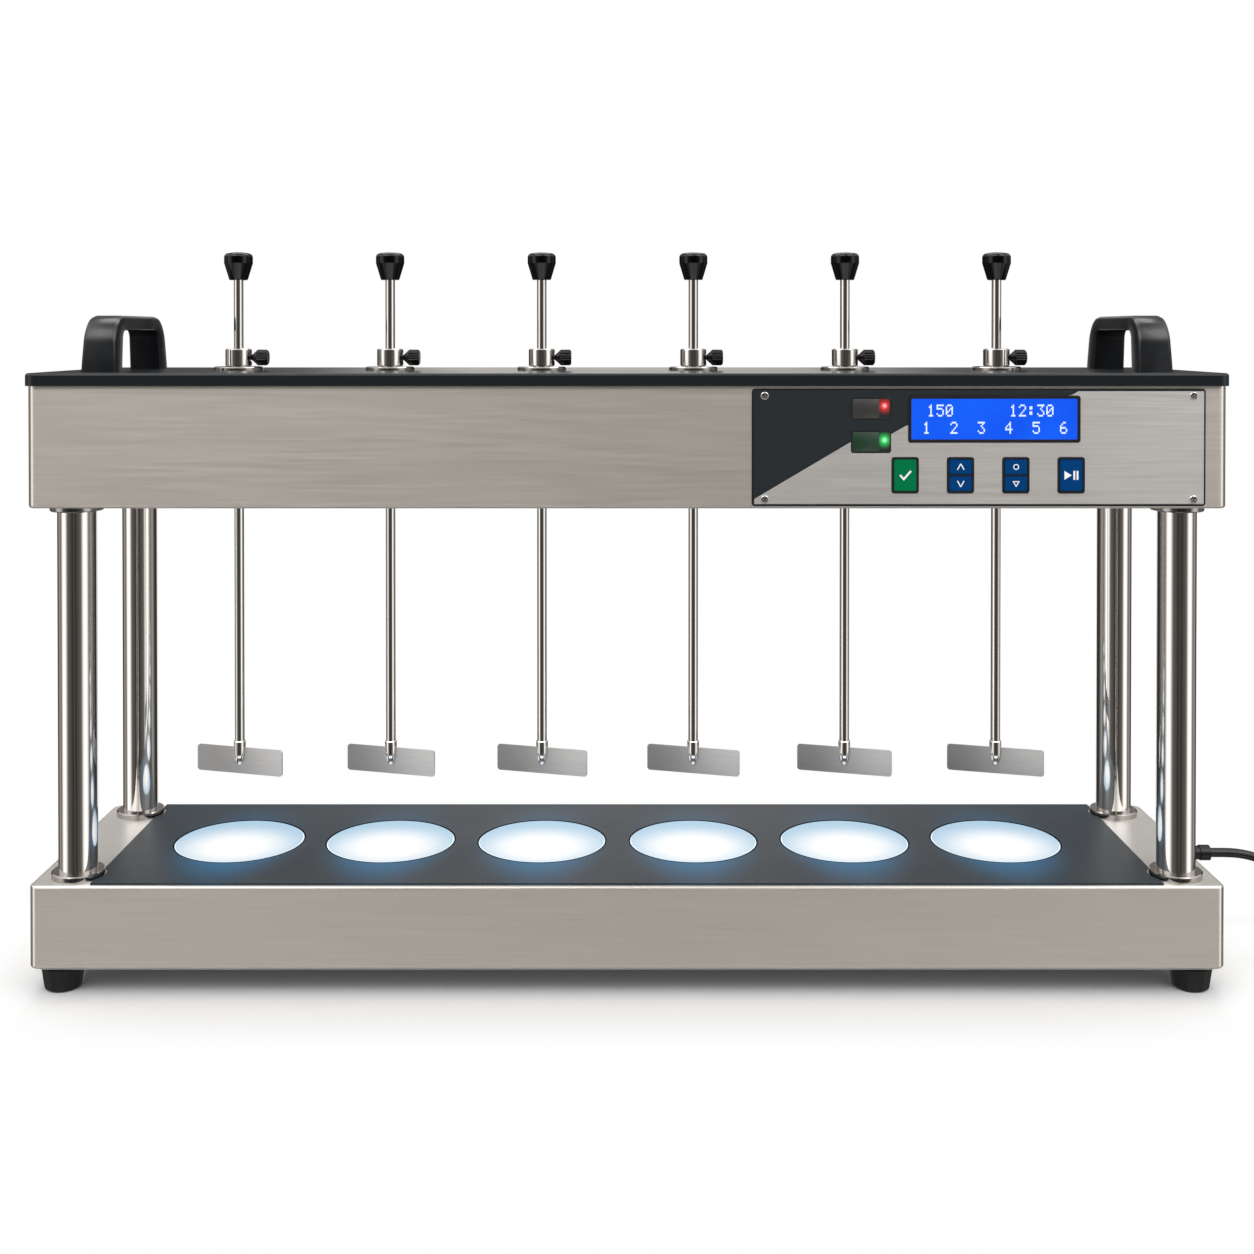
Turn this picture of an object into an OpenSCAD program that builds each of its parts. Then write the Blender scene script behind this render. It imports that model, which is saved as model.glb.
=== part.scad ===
// Six-place jar tester with a lit base, four tubular posts and a belt-driven stirring head.
// Origin: floor centre under the base. Z is up and the control panel faces -Y.

/* [Housings] */
// Depth of the base and of the head from front to back
body_d = 206; // [198:1:216]
// Height of the base housing without its feet
base_h = 67; // [62:1:80]
// Free height between the base and the head
bay_h = 295; // [270:1:330]
// Height of the head that shows below its lid
head_h = 95.5; // [94:0.5:110]
// Radius of the upright corners of base and head
corner_r = 7.5; // [6:0.5:10]
// Thickness of the stainless sheet of both housings
sheet_t = 1.5; // [1:0.1:2]
// Bend radius along the top edge of the base
base_top_r = 2.5; // [2.2:0.1:2.8]
// Bend radius along the bottom edge of the base
base_bottom_r = 2.5; // [2.2:0.1:4]
// Bend radius along the bottom and top edges of the head
head_bend_r = 2.5; // [2.2:0.1:3]
// How far the base cover stays inside the outline of the base
cover_inset = 4; // [2:0.5:6]
// Thickness of the base cover plate
cover_t = 1.5; // [1:0.1:2]

/* [Lid and handles] */
// How far the lid reaches past the head on every side
lid_overhang = 2.5; // [2:0.5:5]
// Height of the lid's rim
lid_h = 10; // [8:0.5:14]
// Thickness of the lid's sheet
lid_t = 1.5; // [1:0.1:2]
// Bend radius along the lid's top edge
lid_bend_r = 2.2; // [2.1:0.1:3]
// Distance of each handle's centre from the side of the head
handle_side = 45; // [40:1:50]
// Length of a handle from front to back
handle_l = 141; // [130:1:150]
// Width of a handle
handle_w = 27; // [22:1:30]
// Height of a handle above the lid
handle_h = 46; // [42:1:50]
// Thickness of the grip bar
handle_bar = 12.5; // [10:0.5:15]
// Length of a handle's leg where it stands on the lid
handle_leg = 20; // [16:1:28]
// Radius of the handle's shoulders
handle_shoulder_r = 25; // [18:1:27]
// Radius of the upper corners of the finger opening
handle_opening_r = 9; // [6:1:12]
// Radius of the grip's long upper edges
handle_edge_r = 4; // [3:0.5:8]
// Lean of the handle's legs from upright, in degrees
handle_lean = 8; // [4:1:12]

/* [Stations] */
// Diameter of the lit windows
window_d = 108; // [100:1:112]
// Space between neighbouring windows
window_space = 20; // [16:1:26]
// Distance of the first stirrer from the left side
row_left = 140; // [137:1:150]
// Distance of the last stirrer from the right side
row_right = 156; // [143:1:162]
// Width of the hidden rim that holds a window down
window_rim = 3.8; // [3:0.1:5]
// Gap around a window in the deck
window_gap = 0.4; // [0.2:0.1:0.6]
// Depth of the lamp cups under the windows
cup_h = 20; // [16:1:24]
// Wall of the lamp cups
cup_wall = 2; // [1.5:0.1:3]

/* [Deck] */
// Distance of the dark deck plate's ends from the sides
deck_side = 48; // [44:0.5:52]
// Thickness of the deck plate
deck_t = 1.5; // [1:0.1:3]
// How far the deck stays inside the outline of the base, front and back
deck_inset = 2.9; // [2.9:0.1:6]
// Gap between the deck's notches and the post flanges
notch_gap = 1.5; // [1:0.1:3]

/* [Posts and feet] */
// Outer diameter of the posts
post_d = 30; // [28:1:32]
// Wall of the posts
post_wall = 2; // [1.5:0.1:3]
// Distance of the posts from the sides of the body
post_side = 31; // [28:0.5:34]
// Distance of the posts from the front and the back of the body
post_inset = 25; // [24:1:34]
// Diameter of the flanges at the ends of the posts
flange_d = 41; // [39:1:42]
// Height of the flanges at the foot of the posts
flange_low_h = 5; // [4:0.5:8]
// Height of the flanges under the head
flange_high_h = 4; // [3:0.5:6]
// Diameter of the tie rods inside the posts
tie_d = 8; // [6:1:10]
// Height of the rubber feet
foot_h = 19.5; // [18:0.5:25]
// Diameter of a foot at its top
foot_top_d = 34; // [31:1:38]
// Diameter of a foot at the floor
foot_floor_d = 29; // [26:1:34]
// Distance of the feet from the sides of the body
foot_side = 21; // [20:1:25]
// Distance of the feet from the front and the back of the body
foot_inset = 20; // [20:1:26]

/* [Stirrers] */
// Diameter of the stirrer rods
rod_d = 8; // [6:0.5:9]
// Height of the blade's middle above the deck's underside
blade_z = 70; // [66:1:80]
// Length of a blade
blade_l = 80; // [70:1:90]
// Height of a blade
blade_h = 22; // [18:1:26]
// Thickness of a blade
blade_t = 1.5; // [1:0.1:2]
// Corner radius of a blade
blade_r = 2.5; // [1:0.1:4]
// Turn of the blades at rest seen from above, in degrees
blade_turn = -16; // [-30:1:0]
// Diameter of the sleeve that joins rod and blade
sleeve_d = 9.8; // [9.4:0.1:12]
// Length of the sleeve's straight part
sleeve_l = 9; // [6:0.5:12]
// Length of the sleeve's pointed part
sleeve_tip = 12.5; // [9:0.5:15]
// Height of the knob's underside above the lid
knob_z = 76; // [70:1:90]
// Height of the knob
knob_h = 23.5; // [20:0.5:28]
// Largest diameter of the knob
knob_d = 23.8; // [20:0.2:28]
// Diameter of the knob's underside
knob_low_d = 15.7; // [13:0.1:18]
// Depth of the rod's seat in the knob
knob_seat = 15; // [12:0.5:17]

/* [Spindles] */
// Outer diameter of the hollow spindles
spindle_d = 14; // [13:0.5:15]
// Diameter of the clamping collar
collar_d = 22; // [19:0.5:24]
// Height of the clamping collar
collar_h = 14.7; // [13:0.1:18]
// Diameter of the bearing flange on the lid
cap_d = 41; // [38:1:44]
// Thickness of the bearing flange
cap_t = 3; // [2:0.1:4]
// Outer diameter of the ball bearings
bearing_d = 26; // [24:1:28]
// Height of the ball bearings
bearing_h = 8; // [6:0.5:9]
// Diameter of the belt pulleys at the belt
pulley_d = 30; // [26:1:34]
// Height of the pulleys' middle above the floor of the head
pulley_z = 57; // [50:1:64]
// Width of the drive belt
belt_w = 9; // [6:0.5:12]
// Thickness of the drive belt
belt_t = 1.5; // [1:0.1:2]
// Radial clearance of running and sliding fits
fit_gap = 0.08; // [0.05:0.01:0.1]
// Gap between pieces that pass without touching
run_gap = 0.3; // [0.2:0.05:0.4]

/* [Thumb screws] */
// Diameter of the knurled head
thumb_d = 13.4; // [11:0.1:15]
// Length of the knurled head
thumb_l = 10; // [8:0.5:12]
// Length of the cone between head and collar
thumb_neck = 3.6; // [2.5:0.1:5]
// Diameter of the clamping screw
thumb_screw_d = 4; // [3:0.5:5]
// Depth of the knurls
knurl_depth = 0.6; // [0.3:0.1:1]

/* [Control panel] */
// Width of the control panel
panel_w = 353; // [348:1:356]
// Distance of the panel from the right side
panel_side = 18; // [17:0.5:26]
// Margin of the panel below the lid and above the head's bottom edge
panel_margin = 2; // [1.5:0.1:3]
// Thickness of the panel plate
panel_t = 1.5; // [1:0.1:2]
// Thickness of the black frame behind the panel plate
frame_t = 0.5; // [0.3:0.1:0.8]
// Width of the black border around the panel plate
border = 1; // [0.6:0.1:2]
// How far the black rims stand out of the panel plate
rim_out = 0.5; // [0.3:0.1:0.8]
// Depth of the moulded block behind the panel
block_t = 6; // [5:0.5:8]
// Width of the display's black rim
display_w = 133.6; // [130:0.1:136]
// Height of the display's black rim
display_h = 36.3; // [34:0.1:38]
// Width of the black rim around the display
display_rim = 2.3; // [1.5:0.1:3]
// Width of a key's black rim
key_w = 21; // [19:0.5:23]
// Height of a key's black rim
key_h = 28; // [26:0.5:30]
// Width of the black rim around a key
key_rim = 1.5; // [1:0.1:2]
// Bar between the two halves of a split key
key_bar = 1; // [0.8:0.1:1.5]
// Distance between neighbouring keys
key_pitch = 43; // [40:0.5:44]
// How far a key stands out of the panel plate
key_out = 1; // [0.6:0.1:1]
// Travel of a key
key_travel = 1; // [0.5:0.1:1.2]
// Width of an indicator window
lamp_window_w = 31.2; // [29:0.1:33]
// Height of an indicator window
lamp_window_h = 17.6; // [16:0.1:19]
// Diameter of the indicator lamps
lamp_d = 5; // [3:0.5:6]

/* [Cord] */
// Diameter of the power cord
cord_d = 8; // [7:0.5:9]
// Length of the tapered strain relief outside the base
relief_l = 52; // [45:1:60]
// Diameter of the strain relief at the base
relief_d = 18; // [16:0.5:22]
// Diameter of the strain relief's last collar
relief_end_d = 13.4; // [12:0.1:15]
// Mean radius of the stored coil
coil_r = 46.5; // [44:0.5:48]
// Number of turns in the stored coil
coil_turns = 5.5; // [5.5:1:7.5]

/* [Hidden] */
$fn = 64;

// Shared construction values
over = 1;
arc_steps = 6;
stations = 6;

// Widths and places along the row
pitch = window_d + window_space;
body_w = row_left + (stations - 1)*pitch + row_right;
deck_w = body_w - 2*deck_side;
handle_x = body_w/2 - handle_side;
panel_x = body_w/2 - panel_side - panel_w/2;

// Levels
base_z = foot_h;
base_top = base_z + base_h;
deck_top = base_top + deck_t;
head_z = base_top + bay_h;
floor_top = head_z + sheet_t;
lid_low = head_z + head_h;
lid_top = lid_low + lid_h;
head_top = lid_top - lid_t;
pulley_mid = floor_top + pulley_z;

// Places across the body
post_x = body_w/2 - post_side;
post_y = body_d/2 - post_inset;
foot_x = body_w/2 - foot_side;
foot_y = body_d/2 - foot_inset;
front_y = -body_d/2;
tie_hole_d = tie_d + 2*run_gap;

// Draft of the handles' side faces, in degrees
handle_draft = 1;

// Base details
stud_d = 6;
stud_l = 9;
foot_edge = 1.5;
foot_recess_d = 14;
foot_recess = 3;
vent_l = 30;
vent_w = 3;
vent_pitch = 8;
vent_count = 9;
vent_side = 215;
vent_x = body_w/2 - vent_side;
gland_inset = 33;
gland_y = body_d/2 - gland_inset;
gland_z = 54;
gland_step = 2;
gland_hole_d = relief_d - gland_step;
gland_flange_t = 3;
gland_nut_h = 7;
relief_collar_l = 8.7;
rib_count = 6;
rib_w = 2.6;
rib_depth = 0.9;

// Window and lamp cup details
window_hole_d = window_d + 2*window_gap;
rim_d = window_d + 2*window_rim;
rim_hole_d = rim_d + 2*run_gap;
cup_d = rim_hole_d + 2*cup_wall + 2*run_gap;
cup_inner_d = rim_d - window_rim;
cup_taper = 12;
board_t = 1.6;
board_gap = 1;
led_size = 5;
led_h = 1.2;
led_count = 8;
led_ring_share = 0.36;
dome_d = 12;
led_centre_h = 2;

// Tie rod details
nut_d = 15;
nut_h = 6.5;
washer_d = 20;
washer_t = 1.6;
tie_end = 4;

// Power supply details
psu_size = [150, 96, 34];
psu_x = 100;
psu_ledge = 14;
psu_ledge_h = 16;
terminal_size = [8, 11, 12];
terminal_count = 7;
terminal_pitch = 10;

// Stirring head details
cap_chamfer = 0.8;
cap_boss_wall = 3;
cap_shoulder = 2.5;
cap_bore_d = spindle_d + 4*run_gap;
bush_d = 20;
bush_h = 15;
bush_flange_d = 28;
bush_flange_t = 3;
spindle_lift = 1;
spindle_low = head_z + spindle_lift;
collar_low = lid_top + cap_t + run_gap;
collar_top = collar_low + collar_h;
collar_edge = 0.8;
screw_z = collar_low + collar_h/2;
flange_out = 2;
pulley_flange_t = 1.5;
pulley_gap = run_gap;
pulley_h = belt_w + 2*pulley_gap + 2*pulley_flange_t;
rod_top = lid_top + knob_z + knob_seat;
blade_mid = base_top + blade_z;
sleeve_drop = 4.5;
sleeve_end = blade_mid - sleeve_drop;
knob_band_low_share = 0.6;
knob_shoulder_r = 3.6;
knob_dome = 0.8;
knob_lip = 0.6;
knurl_count = 20;
screw_seat_d = 7;
screw_seat = 1.2;

// Motor details
motor_side = 72;
motor_x = motor_side - body_w/2;
motor_d = 52;
motor_foot = 64;
motor_foot_t = 5;
motor_h = 40;
motor_cap_h = 4;
motor_shaft_d = 8;
motor_screw_d = 9;
motor_screw_h = 3;

// Control panel details
panel_h = head_h - 2*panel_margin;
panel_z = head_z + head_h/2;
panel_r = 1.5;
rim_r = 2;
frame_front = front_y - frame_t;
panel_front = frame_front - panel_t;
block_back = front_y + block_t;
window_w = 320;
window_h = 86;
display_px = 11.8;
display_pz = 22.15;
keys_px = -57.4;
keys_pz = -21.45;
lamps_px = -84;
lamps_pz = [30.25, 4.45];
lamp_shift = [[10.4, 2.2], [10.4, 1.4]];
lamp_rim = 0.9;
lamp_body_d = 7;
lamp_plate_t = 1.2;
screen_flange = 4;
screen_flange_t = 2;
screen_recess = 0.3;
screw_px = 166.6;
screw_pz = 40.25;
panel_screw_d = 6.6;
panel_screw_h = 1;
panel_screw_shank = 3;
panel_screw_l = 8;
screw_cross = 0.9;
screw_cross_l = 3.8;
screw_cross_depth = 0.7;
key_r = 1.2;
key_wing = 1.8;
key_wing_t = 2;
key_dish = 0.3;
stem_d = 6;
boss_d = 7;
boss_l = 8;
boss_px = [-140, -34, 140];
boss_pz = -36;
pcb_size = [300, board_t, 79];
chip_size = [26, 4, 14];
chip_px = [-110, 60, 110];

// Cord route, from the strain relief down to the floor and along it: the heights at equal steps
cord_step = 8;
cord_heights = [54, 54, 53.9, 53.4, 52.2, 50.2, 47, 42.2, 36, 28.6, 21.2, 14.8, 9.8, 6.4, 4.6, 4];
cord_route = [for (i = [0:len(cord_heights) - 1])
    [body_w/2 + relief_l + i*cord_step, gland_y, cord_heights[i]]];
cord_sides = 10;
cord_ring_step = 2;
coil_gap = 0.6;
coil_sides = 6;
rings_per_turn = 24;
plug_run = 54;
plug_w = 25;
plug_body_l = 30;
plug_round = 5;
plug_neck_l = 26;
plug_neck_d = 13;
plug_waist_d = 20;
plug_groove = 1.4;
plug_groove_w = 2;
plug_grooves = 4;
flat_pin = [18, 1.5, 6.3];
flat_pin_gap = 12.7;
earth_pin_d = 4.8;
earth_pin_l = 21;
pin_rise = 2.5;
earth_drop = 6;

// X of station I, counted from 1 at the left
function station_x(i) = row_left - body_w/2 + (i - 1)*pitch;

// Points on an arc about centre C from angle A to angle B
function arc(c, r, a, b, n = arc_steps) =
    [for (i = [0:n]) let (t = a + (b - a)*i/n) c + r*[cos(t), sin(t)]];

// Section through folded sheet: x runs outwards from the corner's centre, y is the height
function fold_section(r, low, high, low_r, high_r, t) = concat(
    [[0, low]],
    arc([r - low_r, low + low_r], low_r, -90, 0),
    arc([r - high_r, high - high_r], high_r, 0, 90),
    [[0, high], [0, high - t]],
    arc([r - high_r, high - high_r], high_r - t, 90, 0),
    arc([r - low_r, low + low_r], low_r - t, 0, -90),
    [[0, low + t]]);

// Section through the lid: a top sheet with a rim folded down
function lid_section(r, low, high, bend_r, t) = concat(
    [[0, high - t]],
    arc([r - bend_r, high - bend_r], bend_r - t, 90, 0),
    [[r - t, low], [r, low]],
    arc([r - bend_r, high - bend_r], bend_r, 0, 90),
    [[0, high]]);

// Outline of a bridge: half length L, height H, legs that lean by A and shoulders of radius R
function bridge(l, h, a, r) = let (cx = l - (r + (h - r)*sin(a))/cos(a)) concat(
    [[-l, 0], [l, 0]],
    arc([cx, h - r], r, a, 90, 2*arc_steps),
    arc([-cx, h - r], r, 90, 180 - a, 2*arc_steps));

// Flat rectangle with round corners, about its centre
module rounded_rect(w, h, r) {
    union() {
        square([w - 2*r, h], center = true);
        square([w, h - 2*r], center = true);
        for (sx = [-1, 1], sy = [-1, 1])
            translate([sx*(w/2 - r), sy*(h/2 - r)]) circle(r);
    }
}

// Upright rounded plate that stands in the XZ plane, from FRONT back by T
module upright_plate(w, h, r, front, t) {
    translate([0, front + t, 0]) rotate([90, 0, 0]) linear_extrude(t) rounded_rect(w, h, r);
}

// Carries the flat section in children() round a W by D outline with corners of radius R
module sheet_ring(w, d, r) {
    for (k = [0:3]) {
        hx = (k % 2 == 0 ? w : d)/2 - r;
        hy = (k % 2 == 0 ? d : w)/2 - r;
        rotate([0, 0, 90*k]) translate([hx, hy, 0]) {
            rotate_extrude(angle = 90) children();
            rotate([90, 0, 0]) linear_extrude(2*hy) children();
        }
    }
}

// Flat sheet that closes the middle of a sheet ring
module sheet_field(w, d, r, low, t) {
    translate([r - w/2, r - d/2, low]) cube([w - 2*r, d - 2*r, t]);
}

// One copy of children() at each of four corners
module at_corners(x, y) {
    for (sx = [-1, 1], sy = [-1, 1]) translate([sx*x, sy*y, 0]) children();
}

// One copy of children() at each station
module at_stations() {
    for (i = [1:stations]) translate([station_x(i), 0, 0]) children();
}

// Row of upright slots through a wall that faces Y
module vent_slots(x, y, z) {
    for (i = [0:vent_count - 1])
        translate([x + (i - (vent_count - 1)/2)*vent_pitch - vent_w/2, y - over, z - vent_l/2])
            cube([vent_w, sheet_t + 2*over, vent_l]);
}

// Ring with outer diameter D, bore B and height H
module ring(d, b, h) {
    difference() {
        cylinder(d = d, h = h);
        translate([0, 0, -over]) cylinder(d = b, h = h + 2*over);
    }
}

module base_housing() {
    color("#b5afa7") difference() {
        union() {
            sheet_ring(body_w, body_d, corner_r)
                polygon(fold_section(corner_r, base_z + cover_t, base_top,
                    base_bottom_r, base_top_r, sheet_t));
            sheet_field(body_w, body_d, corner_r, base_top - sheet_t, sheet_t);
        }
        at_stations() translate([0, 0, base_top - sheet_t - over])
            cylinder(d = rim_hole_d, h = sheet_t + 2*over);
        at_corners(post_x, post_y) translate([0, 0, base_top - sheet_t - over])
            cylinder(d = tie_hole_d, h = sheet_t + 2*over);
        translate([body_w/2 - sheet_t - over, gland_y, gland_z]) rotate([0, 90, 0])
            cylinder(d = gland_hole_d, h = sheet_t + 2*over);
        for (sx = [-1, 1])
            vent_slots(sx*vent_x, body_d/2 - sheet_t, base_z + base_h/2);
    }
}

module base_cover() {
    color("#9a958d") difference() {
        translate([0, 0, base_z]) linear_extrude(cover_t)
            rounded_rect(body_w - 2*cover_inset, body_d - 2*cover_inset, corner_r);
        at_corners(foot_x, foot_y) translate([0, 0, base_z - over])
            cylinder(d = stud_d + 2*run_gap, h = cover_t + 2*over);
        for (i = [0:vent_count - 1], sx = [-1, 1])
            translate([sx*vent_x + (i - (vent_count - 1)/2)*vent_pitch - vent_w/2,
                -vent_l/2, base_z - over])
                cube([vent_w, vent_l, cover_t + 2*over]);
    }
}

module deck_plate() {
    color("#45494d") difference() {
        translate([-deck_w/2, deck_inset - body_d/2, base_top])
            cube([deck_w, body_d - 2*deck_inset, deck_t]);
        at_stations() translate([0, 0, base_top - over])
            cylinder(d = window_hole_d, h = deck_t + 2*over);
        at_corners(post_x, post_y) translate([0, 0, base_top - over])
            cylinder(d = flange_d + 2*notch_gap, h = deck_t + 2*over);
    }
}

module light_windows() {
    color("#e8f2ff") at_stations() {
        translate([0, 0, base_top - sheet_t]) cylinder(d = rim_d, h = sheet_t);
        translate([0, 0, base_top]) cylinder(d = window_d, h = deck_t);
    }
}

module light_cups() {
    color("#f2f2f0") at_stations() translate([0, 0, base_top - sheet_t - cup_h])
        rotate_extrude() polygon([[0, 0], [cup_d/2 - cup_taper, 0], [cup_d/2, cup_h - cup_wall],
            [cup_d/2, cup_h], [cup_inner_d/2, cup_h],
            [cup_inner_d/2, cup_h - cup_wall], [cup_d/2 - cup_taper - cup_wall, cup_wall],
            [0, cup_wall]]);
}

module light_boards() {
    board_d = cup_d - 2*cup_taper - 2*cup_wall - 2*board_gap;
    color("#dfe6dc") at_stations() translate([0, 0, base_top - sheet_t - cup_h + cup_wall]) union() {
        cylinder(d = board_d, h = board_t);
        for (i = [0:led_count - 1]) rotate([0, 0, 360*i/led_count])
            translate([led_ring_share*board_d - led_size/2, -led_size/2, board_t/2])
                cube([led_size, led_size, board_t/2 + led_h]);
        cylinder(d = dome_d, h = board_t + led_centre_h);
    }
}

module feet() {
    color("#1b1b1c") at_corners(foot_x, foot_y) difference() {
        union() {
            rotate_extrude() polygon([[0, 0], [foot_floor_d/2 - foot_edge, 0],
                [foot_floor_d/2, foot_edge], [foot_top_d/2, foot_h - foot_edge],
                [foot_top_d/2 - foot_edge, foot_h], [0, foot_h]]);
            translate([0, 0, foot_h - foot_edge]) cylinder(d = stud_d, h = stud_l);
        }
        translate([0, 0, -over]) cylinder(d = foot_recess_d, h = foot_recess + over);
    }
}

module posts() {
    color("#c9c6c1") at_corners(post_x, post_y) translate([0, 0, base_top])
        ring(post_d, post_d - 2*post_wall, bay_h);
}

// Flange ring with a chamfer on the edge that looks into the bay
module post_flange(h) {
    rotate_extrude() polygon([[post_d/2 + fit_gap, 0], [flange_d/2, 0],
        [flange_d/2, h - cap_chamfer], [flange_d/2 - cap_chamfer, h], [post_d/2 + fit_gap, h]]);
}

module post_flanges() {
    color("#c9c6c1") at_corners(post_x, post_y) {
        translate([0, 0, base_top]) post_flange(flange_low_h);
        translate([0, 0, head_z]) mirror([0, 0, 1]) post_flange(flange_high_h);
    }
}

// Washer, nut and rod end, stacked upwards from a sheet's face
module tie_end_stack() {
    cylinder(d = washer_d, h = washer_t);
    cylinder(d = nut_d, h = washer_t + nut_h, $fn = 6);
    cylinder(d = tie_d, h = washer_t + nut_h + tie_end);
}

module tie_rods() {
    color("#8d8f92") at_corners(post_x, post_y) {
        translate([0, 0, base_top - sheet_t])
            cylinder(d = tie_d, h = bay_h + 2*sheet_t);
        translate([0, 0, floor_top]) tie_end_stack();
        translate([0, 0, base_top - sheet_t]) mirror([0, 0, 1]) tie_end_stack();
    }
}

module power_supply() {
    color("#a9adb0") translate([psu_x - psu_size[0]/2, -psu_size[1]/2, base_z + cover_t]) {
        difference() {
            cube(psu_size);
            translate([psu_size[0] - psu_ledge, -over, psu_ledge_h])
                cube([psu_ledge + over, psu_size[1] + 2*over, psu_size[2]]);
        }
        for (i = [0:terminal_count - 1])
            translate([psu_size[0] - psu_ledge,
                psu_size[1]/2 + (i - (terminal_count - 1)/2)*terminal_pitch - terminal_size[0]/2,
                psu_ledge_h])
                cube([terminal_size[1], terminal_size[0], terminal_size[2]]);
    }
}

module head_housing() {
    color("#b5afa7") difference() {
        union() {
            sheet_ring(body_w, body_d, corner_r)
                polygon(fold_section(corner_r, head_z, head_top, head_bend_r, head_bend_r, sheet_t));
            sheet_field(body_w, body_d, corner_r, head_z, sheet_t);
        }
        at_stations() translate([0, 0, head_z - over])
            cylinder(d = bush_d + 2*fit_gap, h = sheet_t + 2*over);
        at_corners(post_x, post_y) translate([0, 0, head_z - over])
            cylinder(d = tie_hole_d, h = sheet_t + 2*over);
        translate([panel_x - window_w/2, front_y - over, panel_z - window_h/2])
            cube([window_w, sheet_t + 2*over, window_h]);
        for (sx = [-1, 1], sz = [-1, 1])
            translate([panel_x + sx*screw_px, front_y - over, panel_z + sz*screw_pz])
                rotate([-90, 0, 0])
                    cylinder(d = panel_screw_shank + 2*fit_gap, h = sheet_t + 2*over);
        for (sx = [-1, 1])
            vent_slots(sx*vent_x, body_d/2 - sheet_t, head_z + head_h/2);
    }
}

module lid() {
    lid_w = body_w + 2*lid_overhang;
    lid_d = body_d + 2*lid_overhang;
    lid_r = corner_r + lid_overhang;
    color("#26292c") difference() {
        union() {
            sheet_ring(lid_w, lid_d, lid_r)
                polygon(lid_section(lid_r, lid_low, lid_top, lid_bend_r, lid_t));
            sheet_field(lid_w, lid_d, lid_r, head_top, lid_t);
        }
        at_stations() translate([0, 0, head_top - over])
            cylinder(d = bearing_d + 2*cap_boss_wall + 2*fit_gap, h = lid_t + 2*over);
    }
}

// Bridge handle: its side view and its end view, each carried through the other
module carry_handle() {
    intersection() {
        translate([-handle_w/2 - over, 0, 0]) rotate([90, 0, 90])
            linear_extrude(handle_w + 2*over) difference() {
                polygon(bridge(handle_l/2, handle_h, handle_lean, handle_shoulder_r));
                translate([0, -over]) polygon(bridge(handle_l/2 - handle_leg,
                    handle_h - handle_bar + over, handle_lean, handle_opening_r));
            }
        translate([0, handle_l/2 + over, 0]) rotate([90, 0, 0]) linear_extrude(handle_l + 2*over)
            polygon(bridge(handle_w/2, handle_h, handle_draft, handle_edge_r));
    }
}

module carry_handles() {
    color("#202224") for (sx = [-1, 1]) translate([sx*handle_x, 0, lid_top]) carry_handle();
}

// Flanged housing: it lies on the lid and holds the upper ball bearing below it
module bearing_flanges() {
    boss_r = bearing_d/2 + cap_boss_wall;
    seat_r = bearing_d/2 + fit_gap;
    seat_top = head_top - cap_shoulder;
    color("#c4c2be") at_stations() rotate_extrude() polygon([
        [cap_bore_d/2, seat_top], [seat_r, seat_top], [seat_r, seat_top - bearing_h],
        [boss_r, seat_top - bearing_h], [boss_r, lid_top], [cap_d/2, lid_top],
        [cap_d/2, lid_top + cap_t - cap_chamfer], [cap_d/2 - cap_chamfer, lid_top + cap_t],
        [cap_bore_d/2, lid_top + cap_t]]);
}

module spindle_bearings() {
    seat_top = head_top - cap_shoulder;
    bore = spindle_d + 2*fit_gap;
    color("#8f9296") at_stations() {
        translate([0, 0, seat_top - bearing_h]) ring(bearing_d, bore, bearing_h);
        translate([0, 0, head_z]) ring(bush_d, bore, bush_h);
        translate([0, 0, floor_top]) ring(bush_flange_d, bore, bush_flange_t);
    }
}

// Clearance holes of the panel screws through plate, frame and block
module panel_screw_holes() {
    for (sx = [-1, 1], sz = [-1, 1])
        translate([sx*screw_px, front_y + over, sz*screw_pz]) rotate([90, 0, 0])
            cylinder(d = panel_screw_shank + 2*fit_gap, h = panel_t + frame_t + 2*over);
}

// X of key column K, counted from zero
function key_px(k) = keys_px + k*key_pitch;

// One copy of children() behind each of the four key rims
module at_keys() {
    for (k = [0:3]) translate([key_px(k), 0, keys_pz]) children();
}

// Upright box-like cut with round corners from in front of the panel to behind the block
module panel_cut(w, h, r, gap) {
    upright_plate(w + 2*gap, h + 2*gap, r + gap, panel_front - over, panel_t + frame_t
        + block_t + 2*over);
}

module control_panel() {
    color("#b9b5ae") translate([panel_x, 0, panel_z]) difference() {
        upright_plate(panel_w - 2*border, panel_h - 2*border, panel_r, panel_front, panel_t);
        translate([display_px, 0, display_pz]) panel_cut(display_w, display_h, rim_r, fit_gap);
        at_keys() panel_cut(key_w, key_h, rim_r, fit_gap);
        for (pz = lamps_pz) translate([lamps_px, 0, pz])
            panel_cut(lamp_window_w, lamp_window_h, rim_r, fit_gap);
        panel_screw_holes();
    }
}

// Half a split key's opening is this high
function half_key_h() = (key_h - 2*key_rim - key_bar)/2;

// Heights of the openings in key column K, as [middle, height]
function key_wells(k) = (k == 0 || k == 3)
    ? [[0, key_h - 2*key_rim]]
    : [for (s = [1, -1]) [s*(half_key_h() + key_bar)/2, half_key_h()]];

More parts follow.
